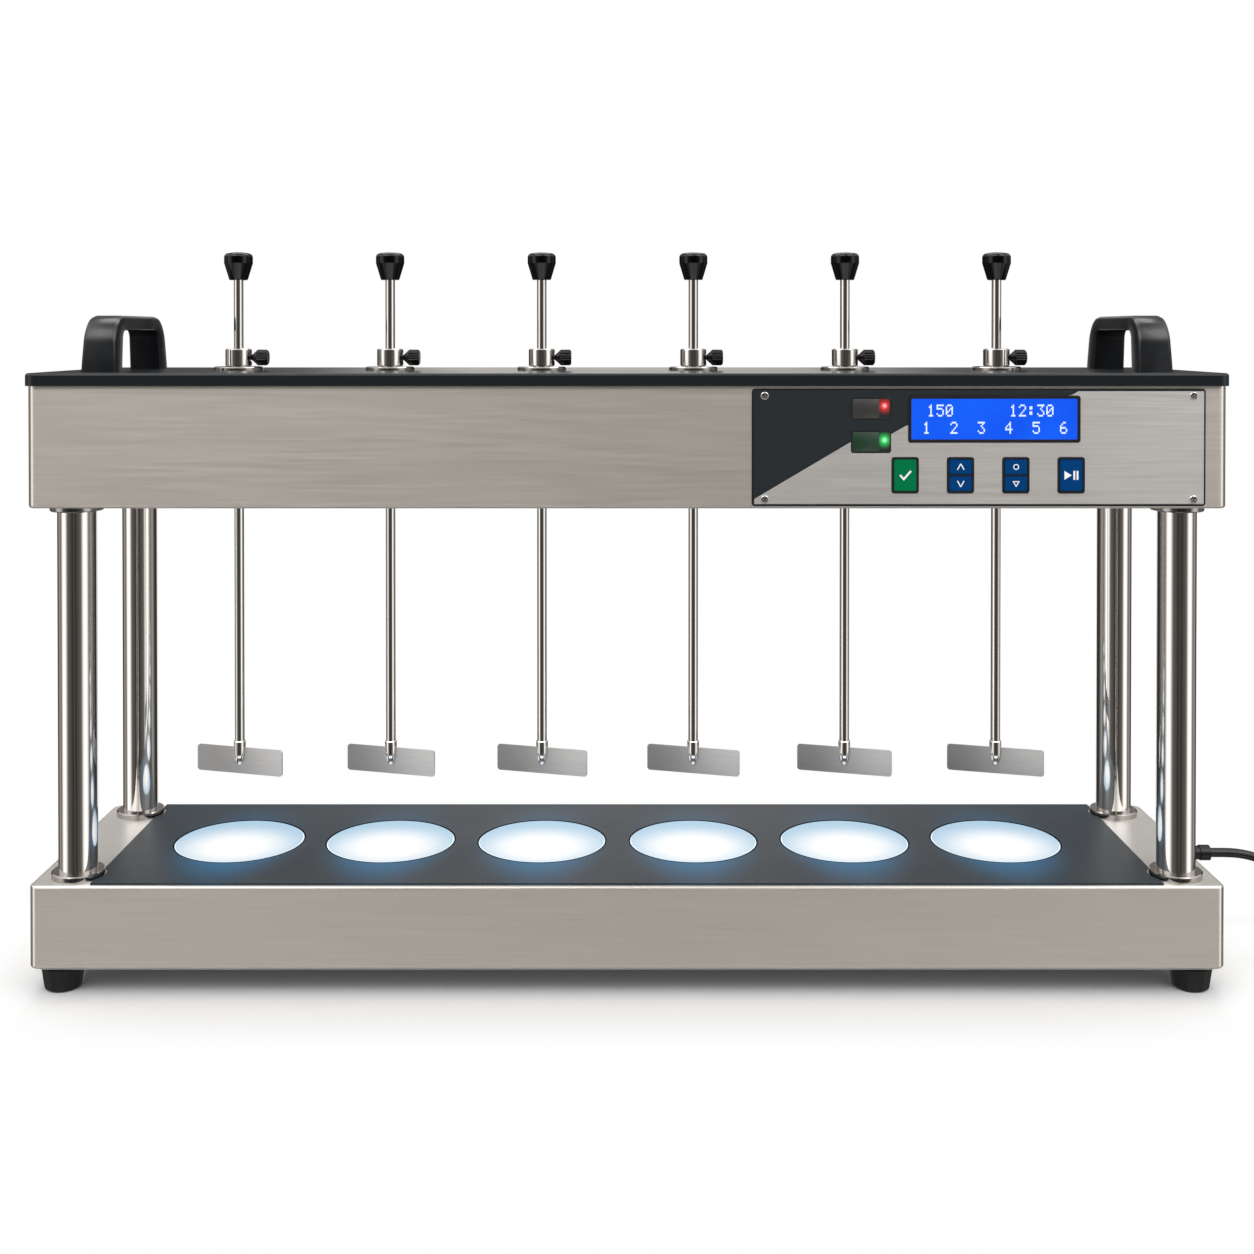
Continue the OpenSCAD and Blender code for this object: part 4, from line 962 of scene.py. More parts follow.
def copies(name: str, spots: Sequence[Point], seed_shape: Shape, finish: Finish) -> bpy.types.Mesh:
    """Copies of one small shape on many spots, made with Geometry Nodes.

    Args:
        name: Name of the tree and the mesh.
        spots: Where the copies go.
        seed_shape: The shape that is copied, about its own origin.
        finish: Surface of the copies.

    Returns:
        One plain mesh of all the copies.
    """
    seed_mesh = bpy.data.meshes.new(name + "_seed")
    seed_mesh.from_pydata(seed_shape.points, [], seed_shape.faces)
    seed = bpy.data.objects.new(name + "_seed", seed_mesh)
    cloud = bpy.data.meshes.new(name + "_spots")
    cloud.from_pydata([tuple(s) for s in spots], [], [])
    carrier = bpy.data.objects.new(name + "_carrier", cloud)
    for thing in (seed, carrier):
        bpy.context.scene.collection.objects.link(thing)
    tree = bpy.data.node_groups.new(name, "GeometryNodeTree")
    face = tree.interface
    face.new_socket("Geometry", in_out="OUTPUT", socket_type="NodeSocketGeometry")
    _, shape_in, scale_in, finish_in = (
        face.new_socket(label, in_out="INPUT", socket_type="NodeSocket" + kind)
        for label, kind in (("Geometry", "Geometry"), ("Shape", "Object"), ("Size", "Float"),
                            ("Finish", "Material")))
    entry, leave = tree.nodes.new("NodeGroupInput"), tree.nodes.new("NodeGroupOutput")
    info, spread, real, coat = (
        tree.nodes.new("GeometryNode" + kind)
        for kind in ("ObjectInfo", "InstanceOnPoints", "RealizeInstances", "SetMaterial"))
    for source, target in (
        (entry.outputs["Geometry"], spread.inputs["Points"]),
        (entry.outputs["Shape"], info.inputs["Object"]),
        (info.outputs["Geometry"], spread.inputs["Instance"]),
        (entry.outputs["Size"], spread.inputs["Scale"]),
        (spread.outputs[0], real.inputs[0]),
        (real.outputs[0], coat.inputs["Geometry"]),
        (entry.outputs["Finish"], coat.inputs["Material"]),
        (coat.outputs[0], leave.inputs[0]),
    ):
        tree.links.new(source, target)
    modifier = carrier.modifiers.new(name, "NODES")
    modifier.node_group = tree
    modifier[shape_in.identifier] = seed
    modifier[scale_in.identifier] = 1.0
    modifier[finish_in.identifier] = finish.make()
    bpy.context.view_layer.update()
    graph = bpy.context.evaluated_depsgraph_get()
    mesh = bpy.data.meshes.new_from_object(carrier.evaluated_get(graph))
    for thing in (seed, carrier):
        bpy.data.objects.remove(thing)
    return mesh


# ---------------------------------------------------------------------------------- studio


@dataclass
class Studio:
    """Camera, pale floor, soft world and lamps.

    The world has tables of levels for metal. Each row is an azimuth in degrees, 0 on the
    camera's side and 180 behind the object, and a level. A span over z blends two of them.
    """

    eye: Point = (0.0, -1.290, 0.518)
    tilt_deg: float = 0.6
    lens_mm: float = 43.83
    sensor_mm: float = 36.0
    shift_y: float = -0.2214
    clip: Span = (0.01, 100.0)
    floor_half: float = 14.0
    floor_colour: Colour = (0.9, 0.9, 0.9)
    footprint: Flat = (0.468, 0.103)
    coil: tuple[float, float, float] = (0.648, 0.07, 0.06)
    white_span: Span = (0.0, 0.10)
    ambient: Span = (0.2, 1.1)
    ambient_span: Span = (0.0, 0.75)
    hidden_floor: float = 0.05
    overhead: Table = (
        (0, 1.15), (6, 1.3), (20, 2.9), (34, 2.8), (110, 1.5), (135, 0.45), (160, 0.3),
        (172, 0.7), (180, 0.8),
    )
    below: Table = (
        (0, 1.9), (6, 2.0), (20, 2.4), (34, 2.2), (44, 0.9), (54, 0.3), (66, 0.5), (84, 0.95),
        (100, 0.4), (125, 0.22), (150, 0.75), (180, 1.1),
    )
    cards: Table = (
        (0, 0.10), (6, 0.035), (12, 0.05), (22, 0.09), (30, 0.11), (40, 0.16), (45, 0.5),
        (51, 1.0), (58, 1.4), (72, 1.4), (80, 0.8), (86, 0.3), (92, 0.16), (100, 0.36),
        (110, 0.34), (118, 0.18), (127, 0.05), (168, 0.03), (174, 1.0), (180, 1.0),
    )
    tints: tuple[Flat, ...] = ((1.0, 0.0), (0.93, 0.055), (0.86, 0.105))
    nadir: float = 0.3
    nadir_span: Span = (-0.56, -0.76)
    zenith: float = 0.9
    zenith_span: Span = (0.86, 0.97)
    horizon: Span = (0.33, 0.53)
    horizon_slope: float = 0.27
    ground: Span = (-0.42, -0.55)
    lamps: tuple[tuple[str, Point, Point, Flat, float], ...] = (
        ("key lamp", (-0.9, -1.7, 2.3), (0.0, 0.0, 0.25), (1.8, 1.1), 12.0),
        ("fill lamp", (1.5, -1.2, 1.9), (0.0, 0.0, 0.25), (1.4, 1.1), 8.0),
        ("top lamp", (0.0, 0.7, 2.4), (0.0, 0.0, 0.2), (2.4, 1.0), 26.0),
    )

    def camera(self) -> None:
        """The camera at the photograph's viewing angle."""
        data = bpy.data.cameras.new("camera")
        data.lens, data.sensor_width, data.shift_y = self.lens_mm, self.sensor_mm, self.shift_y
        data.clip_start, data.clip_end = self.clip
        camera = bpy.data.objects.new("camera", data)
        camera.location = self.eye
        camera.rotation_euler = (math.radians(90.0 - self.tilt_deg), 0.0, 0.0)
        bpy.context.scene.collection.objects.link(camera)
        bpy.context.scene.camera = camera

    def floor(self) -> None:
        """A large pale floor that keeps the object's shadow."""
        half = self.floor_half
        corners = [(-half, -half, 0), (half, -half, 0), (half, half, 0), (-half, half, 0)]
        mesh = bpy.data.meshes.new("floor")
        mesh.from_pydata(corners, [], [(0, 1, 2, 3)])
        floor = bpy.data.objects.new("floor", mesh)
        material = bpy.data.materials.new("floor")
        canvas = blank(material)
        matt = canvas.put("BsdfDiffuse", {"Color": rgba(self.floor_colour)})
        white = canvas.put("Emission", {"Color": rgba(WHITE), "Strength": 1.0})
        seen = canvas.put("LightPath").outputs["Is Camera Ray"]
        share = canvas.times(seen, canvas.between(self.clearance(canvas), *self.white_span))
        both = canvas.put("MixShader", {0: share, 1: matt.outputs[0], 2: white.outputs[0]})
        canvas.put("OutputMaterial", {"Surface": both.outputs[0]})
        mesh.materials.append(material)
        bpy.context.scene.collection.objects.link(floor)
        floor.visible_glossy = False

    def clearance(self, canvas: Canvas) -> Socket:
        """Distance on the floor from the base's footprint or the stored coil, the nearer one."""
        x, y, _ = canvas.parts(canvas.place())
        beside = [canvas.maths("MAXIMUM", canvas.minus(canvas.maths("ABSOLUTE", p), half), 0.0)
                  for p, half in zip((x, y), self.footprint)]
        coil_x, coil_y, coil_r = self.coil
        from_coil = canvas.length(canvas.minus(x, coil_x), canvas.minus(y, coil_y))
        return canvas.maths("MINIMUM", canvas.length(*beside), canvas.minus(from_coil, coil_r))

    def table(self, canvas: Canvas, share: Socket, levels: Table) -> Socket:
        """Warm white level by azimuth.

        Args:
            canvas: The world's canvas.
            share: Azimuth as a share of 180 degrees.
            levels: Azimuth in degrees and level.

        Returns:
            The colour socket.
        """
        peak = max(level for _, level in levels)
        stops = []
        for azimuth, level in levels:
            part = level / peak
            colour = tuple(part * (start + rise * part) for start, rise in self.tints)
            stops.append((azimuth / 180.0, colour))
        return canvas.put("VectorMath", {0: canvas.ramp(share, stops), "Scale": peak},
                          operation="SCALE").outputs[0]

    def world(self) -> None:
        """White to the camera, light and dark cards round metal, and soft grey for the rest."""
        world = bpy.data.worlds.new("studio")
        bpy.context.scene.world = world
        canvas = blank(world)
        x, y, z = canvas.parts(canvas.put("TexCoord").outputs["Generated"])
        turn = canvas.maths("ABSOLUTE", canvas.maths("ARCTAN2", x, canvas.times(y, -1.0)))
        share = canvas.maths("DIVIDE", turn, math.pi)
        path = canvas.put("LightPath").outputs
        below, cards, overhead = (self.table(canvas, share, levels)
                                  for levels in (self.below, self.cards, self.overhead))
        low = canvas.mix(canvas.between(z, *self.nadir_span), below, grey(self.nadir))
        indirect = canvas.maths("GREATER_THAN", path["Diffuse Depth"], 0.5)
        base = canvas.mix(indirect, low, grey(self.hidden_floor))
        dome = canvas.mix(canvas.between(z, *self.zenith_span), overhead, grey(self.zenith))
        lift = canvas.maths("MULTIPLY_ADD", share, self.horizon_slope, z)
        high = canvas.mix(canvas.between(lift, *self.horizon), cards, dome)
        around = canvas.mix(canvas.between(z, *self.ground), high, base)
        soft = canvas.mix(canvas.between(z, *self.ambient_span), *map(grey, self.ambient))
        shown = canvas.mix(path["Is Glossy Ray"], soft, around)
        final = canvas.mix(path["Is Camera Ray"], shown, WHITE)
        sky = canvas.put("Background", {"Color": final})
        canvas.put("OutputWorld", {"Surface": sky.outputs[0]})

    def lamp(self, name: str, place: Point, aim: Point, size: Flat, power: float) -> None:
        """Adds one soft area lamp.

        Args:
            name: Name of the lamp.
            place: Where it hangs.
            aim: Where it looks.
            size: Width and height.
            power: Power in watts.
        """
        data = bpy.data.lights.new(name, "AREA")
        data.shape, data.energy = "RECTANGLE", power
        data.size, data.size_y = size
        lamp = bpy.data.objects.new(name, data)
        lamp.location = place
        lamp.rotation_euler = (Vector(aim) - Vector(place)).to_track_quat("-Z", "Y").to_euler()
        bpy.context.scene.collection.objects.link(lamp)

    def build(self) -> None:
        """Sets up the whole studio."""
        bpy.context.scene.view_settings.view_transform = "Standard"
        self.camera()
        self.floor()
        self.world()
        for lamp in self.lamps:
            self.lamp(*lamp)


# ------------------------------------------------------------------------------- power lead


@dataclass
class PowerLead:
    """Mains lead: down to the floor, a stored coil and a moulded plug.

    The plug's profiles start with the distance from the cord's end, all in millimetres.
    """

    exit_point: Point = (0.520, 0.070, 0.054)
    diameter: float = 0.008
    length: float = 1.8
    step: float = 0.008
    fine: int = 3
    heights_mm: tuple[float, ...] = (
        54, 54, 53.9, 53.4, 52.2, 50.2, 47, 42.2, 36, 28.6, 21.2, 14.8, 9.8, 6.4, 4.6, 4)
    coil_r: float = 0.0465
    turns: float = 5.5
    pitch: float = 0.0086
    plug_run: float = 0.054
    per_turn: int = 72
    sides: int = 16
    neck_mm: tuple[Flat, ...] = (
        (0.0, 6.5), (2.0, 6.5), (2.0, 5.8), (4.0, 5.8), (4.0, 6.5), (6.0, 6.5), (6.0, 5.8),
        (8.0, 5.8), (8.0, 6.6), (10.0, 6.7), (10.0, 5.9), (12.0, 5.9), (12.0, 7.0),
        (18.0, 8.6), (26.0, 10.2),
    )
    neck_sides: int = 28
    block_mm: tuple[tuple[float, float, float], ...] = (
        (26.2, 22.0, 9.0), (27.5, 24.4, 7.0), (30.0, 25.0, 5.5), (46.0, 24.6, 5.0),
        (53.6, 24.0, 4.5), (55.2, 23.0, 4.2), (56.0, 21.4, 4.0),
    )
    blade_at_mm: Flat = (2.5, 6.35)
    blade_mm: tuple[tuple[float, float, float, float], ...] = (
        (55.5, 6.3, 1.5, 0.5), (73.0, 6.3, 1.5, 0.5), (74.0, 5.3, 0.7, 0.3))
    earth_at_mm: float = -6.0
    earth_mm: tuple[Flat, ...] = ((55.5, 2.4), (75.0, 2.4), (76.4, 1.9), (77.0, 1.1))
    earth_sides: int = 20

    def route(self) -> list[Vector]:
        """Points from the strain relief to the floor, smoothed between the set heights."""
        x0, y0, _ = self.exit_point
        heights = [h * MM for h in self.heights_mm]
        points = []
        for i in range(len(heights) - 1):
            a, b = heights[max(i - 1, 0)], heights[i]
            c, d = heights[i + 1], heights[min(i + 2, len(heights) - 1)]
            for k in range(self.fine):
                t = k / self.fine
                z = 0.5 * (2 * b + (c - a) * t + (2 * a - 5 * b + 4 * c - d) * t * t
                           + (3 * b - a - 3 * c + d) * t ** 3)
                points.append(Vector((x0 + (i + t) * self.step, y0, z)))
        points.append(Vector((x0 + (len(heights) - 1) * self.step, y0, heights[-1])))
        return points

    def coil(self, start: Vector) -> list[Vector]:
        """Points of the coil: inwards on the floor, up a layer and outwards again."""
        inner = self.coil_r - self.turns * self.pitch / 4
        outer = inner + self.turns * self.pitch / 2
        centre = Vector((start.x + self.diameter, start.y - outer, start.z))
        points = []
        for i in range(int(self.turns * self.per_turn) + 1):
            t = i / self.per_turn
            radius = inner + abs(t - self.turns / 2) * self.pitch
            rise = self.pitch * min(1.0, max(0.0, (t - self.turns / 2) * 2 + 0.5))
            angle = math.radians(90 - 360 * t)
            spot = Vector((radius * math.cos(angle), radius * math.sin(angle), rise))
            points.append(centre + spot)
        return points

    def jacket(self, path: list[Vector]) -> bpy.types.Object:
        """The cord itself, with a UV map that runs along it."""
        shape = Shape()
        shape.loft(sweep(path, self.diameter / 2, self.sides))
        piece = shape.piece("mains_lead", JACKET, STAND, "cord_rubber",
                            ("power_cord", "cord_coil"), 60.0)
        layer = piece.data.uv_layers.new(name="UVMap")
        for loop in piece.data.loops:
            ring, corner = divmod(loop.vertex_index, self.sides)
            layer.data[loop.index].uv = (ring / len(path) * self.length, corner / self.sides)
        return piece

    def plug(self, end: Vector) -> list[bpy.types.Object]:
        """Moulded plug with a ribbed neck, and its bright pins, along -X from the cord's end."""

        def lay(points: Iterable[Flat], run: float) -> list[Point]:
            """Ring across the plug, at a distance from the cord's end, in the shared frame."""
            return [(end.x - run * MM, end.y + y * MM, end.z + x * MM) for x, y in points]

        block = Shape()
        rings = [lay(circle(radius, self.neck_sides), run) for run, radius in self.neck_mm]
        rings += [lay(round_rect(width, width, corner), run)
                  for run, width, corner in self.block_mm]
        block.loft(rings)
        pins = Shape()
        across, apart = self.blade_at_mm
        for side in (-apart, apart):
            pins.loft([lay([(x + across, y + side) for x, y in round_rect(*size, 3)], run)
                       for run, *size in self.blade_mm])
        pins.loft([lay([(x + self.earth_at_mm, y) for x, y in circle(r, self.earth_sides)], run)
                   for run, r in self.earth_mm])
        return [block.piece("plug_body", GLAND, STAND, "cord_rubber", ("mains_plug",), 50.0),
                pins.piece("plug_pins", PIN, STAND, "polished_steel", (), 40.0)]

    def build(self) -> None:
        dress_nodes({"cord_gland": GLAND})
        path = self.route()
        path += self.coil(path[-1])
        last = path[-1]
        path += [last - Vector((self.plug_run * k / 4, 0.0, 0.0)) for k in (1, 2, 3, 4)]
        jacket = self.jacket(path)
        housing, pins = self.plug(path[-1])


# ------------------------------------------------------------------------------- housings


@dataclass
class Housings:
    """Base, head, lid, deck, posts and feet, with the screws under the base."""

    screw_r: float = 0.0035
    screw_inset: float = 0.011
    screw_z: float = 0.0195
    screw_xs: tuple[float, ...] = (-0.36, -0.18, 0.0, 0.18, 0.36)
    screw_profile: tuple[Flat, ...] = (
        (0.0002, 1.0), (-0.0006, 1.0), (-0.0013, 0.82), (-0.0016, 0.45))
    screw_sides: int = 20

    def cover_screws(self) -> None:
        """Pan-head screws round the underside of the base cover."""
        head = Shape()
        head.loft([[(px, py, z) for px, py in circle(share * self.screw_r, self.screw_sides)]
                   for z, share in self.screw_profile])
        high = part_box("base_cover")[1]
        x, y = high.x - self.screw_inset, high.y - self.screw_inset
        spots = [(px, s * y, self.screw_z) for px in self.screw_xs for s in (-1, 1)]
        spots += [(s * x, 0.0, self.screw_z) for s in (-1, 1)]
        mesh = copies("cover_screws", spots, head, ZINC)
        finished("cover_screws", mesh, ZINC, STAND, crease=30.0)

    def build(self) -> None:
        """Dresses the sheet metal, the posts and the feet."""
        dress_nodes({
            "base_housing": HOUSING, "head_housing": HOUSING, "base_cover": ZINC,
            "deck_plate": DECK, "lid": LID, "feet": RUBBER, "posts": POLISHED,
            "post_flanges": RING, "tie_rods": ZINC, "bearing_flanges": TURNED,
        })
        self.cover_screws()


@dataclass
class LitWindows:
    """Six lit opal windows with a bright chamfer, and a thin black ring round each that paints the
    shade of the gap round the window.
    """

    radius: float = 0.0533
    top: float = 0.088
    foot: float = 0.0865
    chamfer: float = 0.0008
    slant: float = 0.6
    gap_shade_ring: float = 0.0014
    proud: float = 0.00015
    sides: int = 96
    rings: int = 8

    def turned(self, shape: Shape, place: int, profile: Iterable[Flat], closed: bool) -> None:
        """Adds a profile turned about a station.

        Args:
            shape: Shape to add to.
            place: The station, counted from 1.
            profile: Radius and height of each ring.
            closed: Whether the last ring joins the first; the ends stay open otherwise.
        """
        x = ROW.x(place)
        shape.loft([[(x + px, py, z) for px, py in circle(radius, self.sides)]
                    for radius, z in profile], capped=False, closed=closed)

    def disc(self, shape: Shape, place: int, radius: float) -> None:
        """Adds a station's flat face: rings that shrink to one point."""
        shares = [1.0 - k / self.rings for k in range(self.rings)]
        self.turned(shape, place, [(radius * share, self.top) for share in shares], False)
        n, centre = self.sides, len(shape.points)
        inner = centre - n
        shape.points.append((ROW.x(place), 0.0, self.top))
        shape.faces += [(inner + k, inner + (k + 1) % n, centre) for k in range(n)]

    def build(self) -> None:
        """Makes the discs, their rims and the black rings of painted gap shade."""
        discs, rims, gap_shade_shape = Shape(), Shape(), Shape()
        flat_r, edge_z = self.radius - self.chamfer, self.top - self.chamfer * self.slant
        rim = ((flat_r, self.top), (self.radius, edge_z), (self.radius, self.foot),
               (flat_r, self.foot))
        # Painted shade: a thin black ring, just proud of the deck, darkens the gap round each
        # window.
        inside, outside = self.radius + self.proud, self.radius + self.gap_shade_ring
        low, crest = self.top - self.proud, self.top + self.proud
        gap_shade_ring = ((inside, low), (inside + self.proud, crest), (outside - self.proud, crest),
                (outside, low))
        for place in PLACES:
            self.disc(discs, place, flat_r)
            self.turned(rims, place, rim, True)
            self.turned(gap_shade_shape, place, gap_shade_ring, True)
        piece = discs.piece("window_faces", OPAL, STAND, "window_opal", ("light_windows",))
        layer = piece.data.uv_layers.new(name="UVMap")
        for loop in piece.data.loops:
            x, y, _ = piece.data.vertices[loop.vertex_index].co
            nearest = min(map(ROW.x, PLACES), key=lambda centre: abs(centre - x))
            layer.data[loop.index].uv = ((x - nearest) / self.radius, y / self.radius)
        if piece.data.polygons[0].normal.z < 0:
            piece.data.flip_normals()
        rims.piece("window_rims", RIM_LIGHT, STAND, "window_opal")
        gap_shade_shape.piece("window_seals", SHADE_RUBBER, STAND, "rubber")
        dress_nodes({"light_cups": CUP, "light_boards": LIGHT_BOARD})


@dataclass
class CarryHandles:
    """Two moulded bridge handles with crowned faces and soft edges."""

    x: float = 0.423
    base: float = 0.487
    half_l: float = 0.0705
    height: float = 0.046
    width: float = 0.027
    leg: float = 0.020
    bar: float = 0.0125
    shoulder_r: float = 0.025
    opening_r: float = 0.009
    lean_deg: float = 8.0
    draft_deg: float = 1.0
    crown: float = 0.0009
    soft_r: Span = (0.0015, 0.0036)
    soft_span: Span = (0.008, 0.038)
    hard_r: float = 0.0014
    steps: tuple[int, int, int] = (8, 14, 8)

    def bridge(self, half: float, height: float, radius: float) -> list[Flat]:
        """Side profile from the front foot over the top to the back foot.

        Args:
            half: Half the length at the foot.
            height: Height of the top.
            radius: Radius of the shoulders.

        Returns:
            Points (y, z) of the profile.
        """
        leg, bend, top = self.steps
        lean = math.radians(self.lean_deg)
        cx = half - (radius + (height - radius) * math.sin(lean)) / math.cos(lean)
        y, z = -cx - radius * math.cos(lean), height - radius + radius * math.sin(lean)
        half_line = [(-half + (y + half) * k / leg, z * k / leg) for k in range(leg)]
        half_line += arc((-cx, height - radius), radius, 180.0 - self.lean_deg, 90.0, bend)
        half_line += [(-cx + cx * k / top, height) for k in range(1, top)]
        return half_line + [(0.0, height)] + [(-y, z) for y, z in reversed(half_line)]

    def section(self, outer: Flat, inner: Flat, x: float) -> list[Point]:
        """Rounded section between an outer and an inner point of the bridge.

        Args:
            outer: Point (y, z) on the outer profile.
            inner: Point (y, z) on the inner profile.
            x: Middle of the handle.

        Returns:
            Ring of points.
        """
        dy, dz = outer[0] - inner[0], outer[1] - inner[1]
        depth = math.hypot(dy, dz)
        half = self.width / 2 - outer[1] * math.tan(math.radians(self.draft_deg))
        start, end = self.soft_span
        share = min(1.0, max(0.0, (outer[1] - start) / (end - start)))
        soft = self.soft_r[0] + (self.soft_r[1] - self.soft_r[0]) * share
        hard = self.hard_r
        ring = arc((half - soft, depth - soft), soft, 0, 90, 6)
        ring += arc((soft - half, depth - soft), soft, 90, 180, 6)
        ring += arc((hard - half, hard), hard, 180, 270, 4)
        ring += arc((half - hard, hard), hard, 270, 360, 4)
        crowned = []
        for px, pd in ring:
            if pd > depth - soft * 0.5:
                pd -= self.crown * (px / half) ** 2
            y, z = inner[0] + dy / depth * pd, inner[1] + dz / depth * pd
            crowned.append((x + px, y, self.base + z))
        return crowned

    def build(self) -> None:
        """Makes both handles as one piece of two shells."""
        shape = Shape()
        outer = self.bridge(self.half_l, self.height, self.shoulder_r)
        inner = self.bridge(self.half_l - self.leg, self.height - self.bar, self.opening_r)
        for x in (-self.x, self.x):
            shape.loft([self.section(out, into, x) for out, into in zip(outer, inner)])
        shape.piece("moulded_handles", HANDLE, STAND, "handle_plastic", ("carry_handles",), 50.0)


@dataclass
class Stirrers:
    """Spindles, rods, blades, knobs and thumb screws of the six stations."""

    def build(self) -> None:
        """Dresses every moving node of the row."""
        for place in PLACES:
            dress_nodes({f"spindle_{place}": POLISHED, f"paddle_{place}": STIRRER,
                         f"knob_{place}": KNOB, f"thumb_screw_{place}": THUMB})


@dataclass
class Drive:
    """Motor, belt, bearings and supply inside the housings."""

    def build(self) -> None:
        """Dresses what is inside."""
        dress_nodes({
            "drive_motor": MOTOR, "motor_pulley": PULLEY, "drive_belt": BELT,
            "spindle_bearings": ZINC, "power_supply": SUPPLY, "control_board": CIRCUIT,
        })


DIGITS: dict[str, tuple[str, ...]] = {
    "0": ("01110", "10001", "10011", "10101", "11001", "10001", "01110"),
    "1": ("00100", "01100", "00100", "00100", "00100", "00100", "01110"),
    "2": ("01110", "10001", "00001", "00010", "00100", "01000", "11111"),
    "3": ("11111", "00010", "00100", "00010", "00001", "10001", "01110"),
    "4": ("00010", "00110", "01010", "10010", "11111", "00010", "00010"),
    "5": ("11111", "10000", "11110", "00001", "00001", "10001", "01110"),
    "6": ("00110", "01000", "10000", "11110", "10001", "10001", "01110"),
    ":": ("00000", "01100", "01100", "00000", "01100", "01100", "00000"),
}


@dataclass(frozen=True)
class Key:
    """One key: its CAD node, its column from 0, its height above the column's middle."""

    node: str
    column: int
    shift: float
    height: float
    finish: Finish = BLUE_KEY
    slot: str = "key_blue"


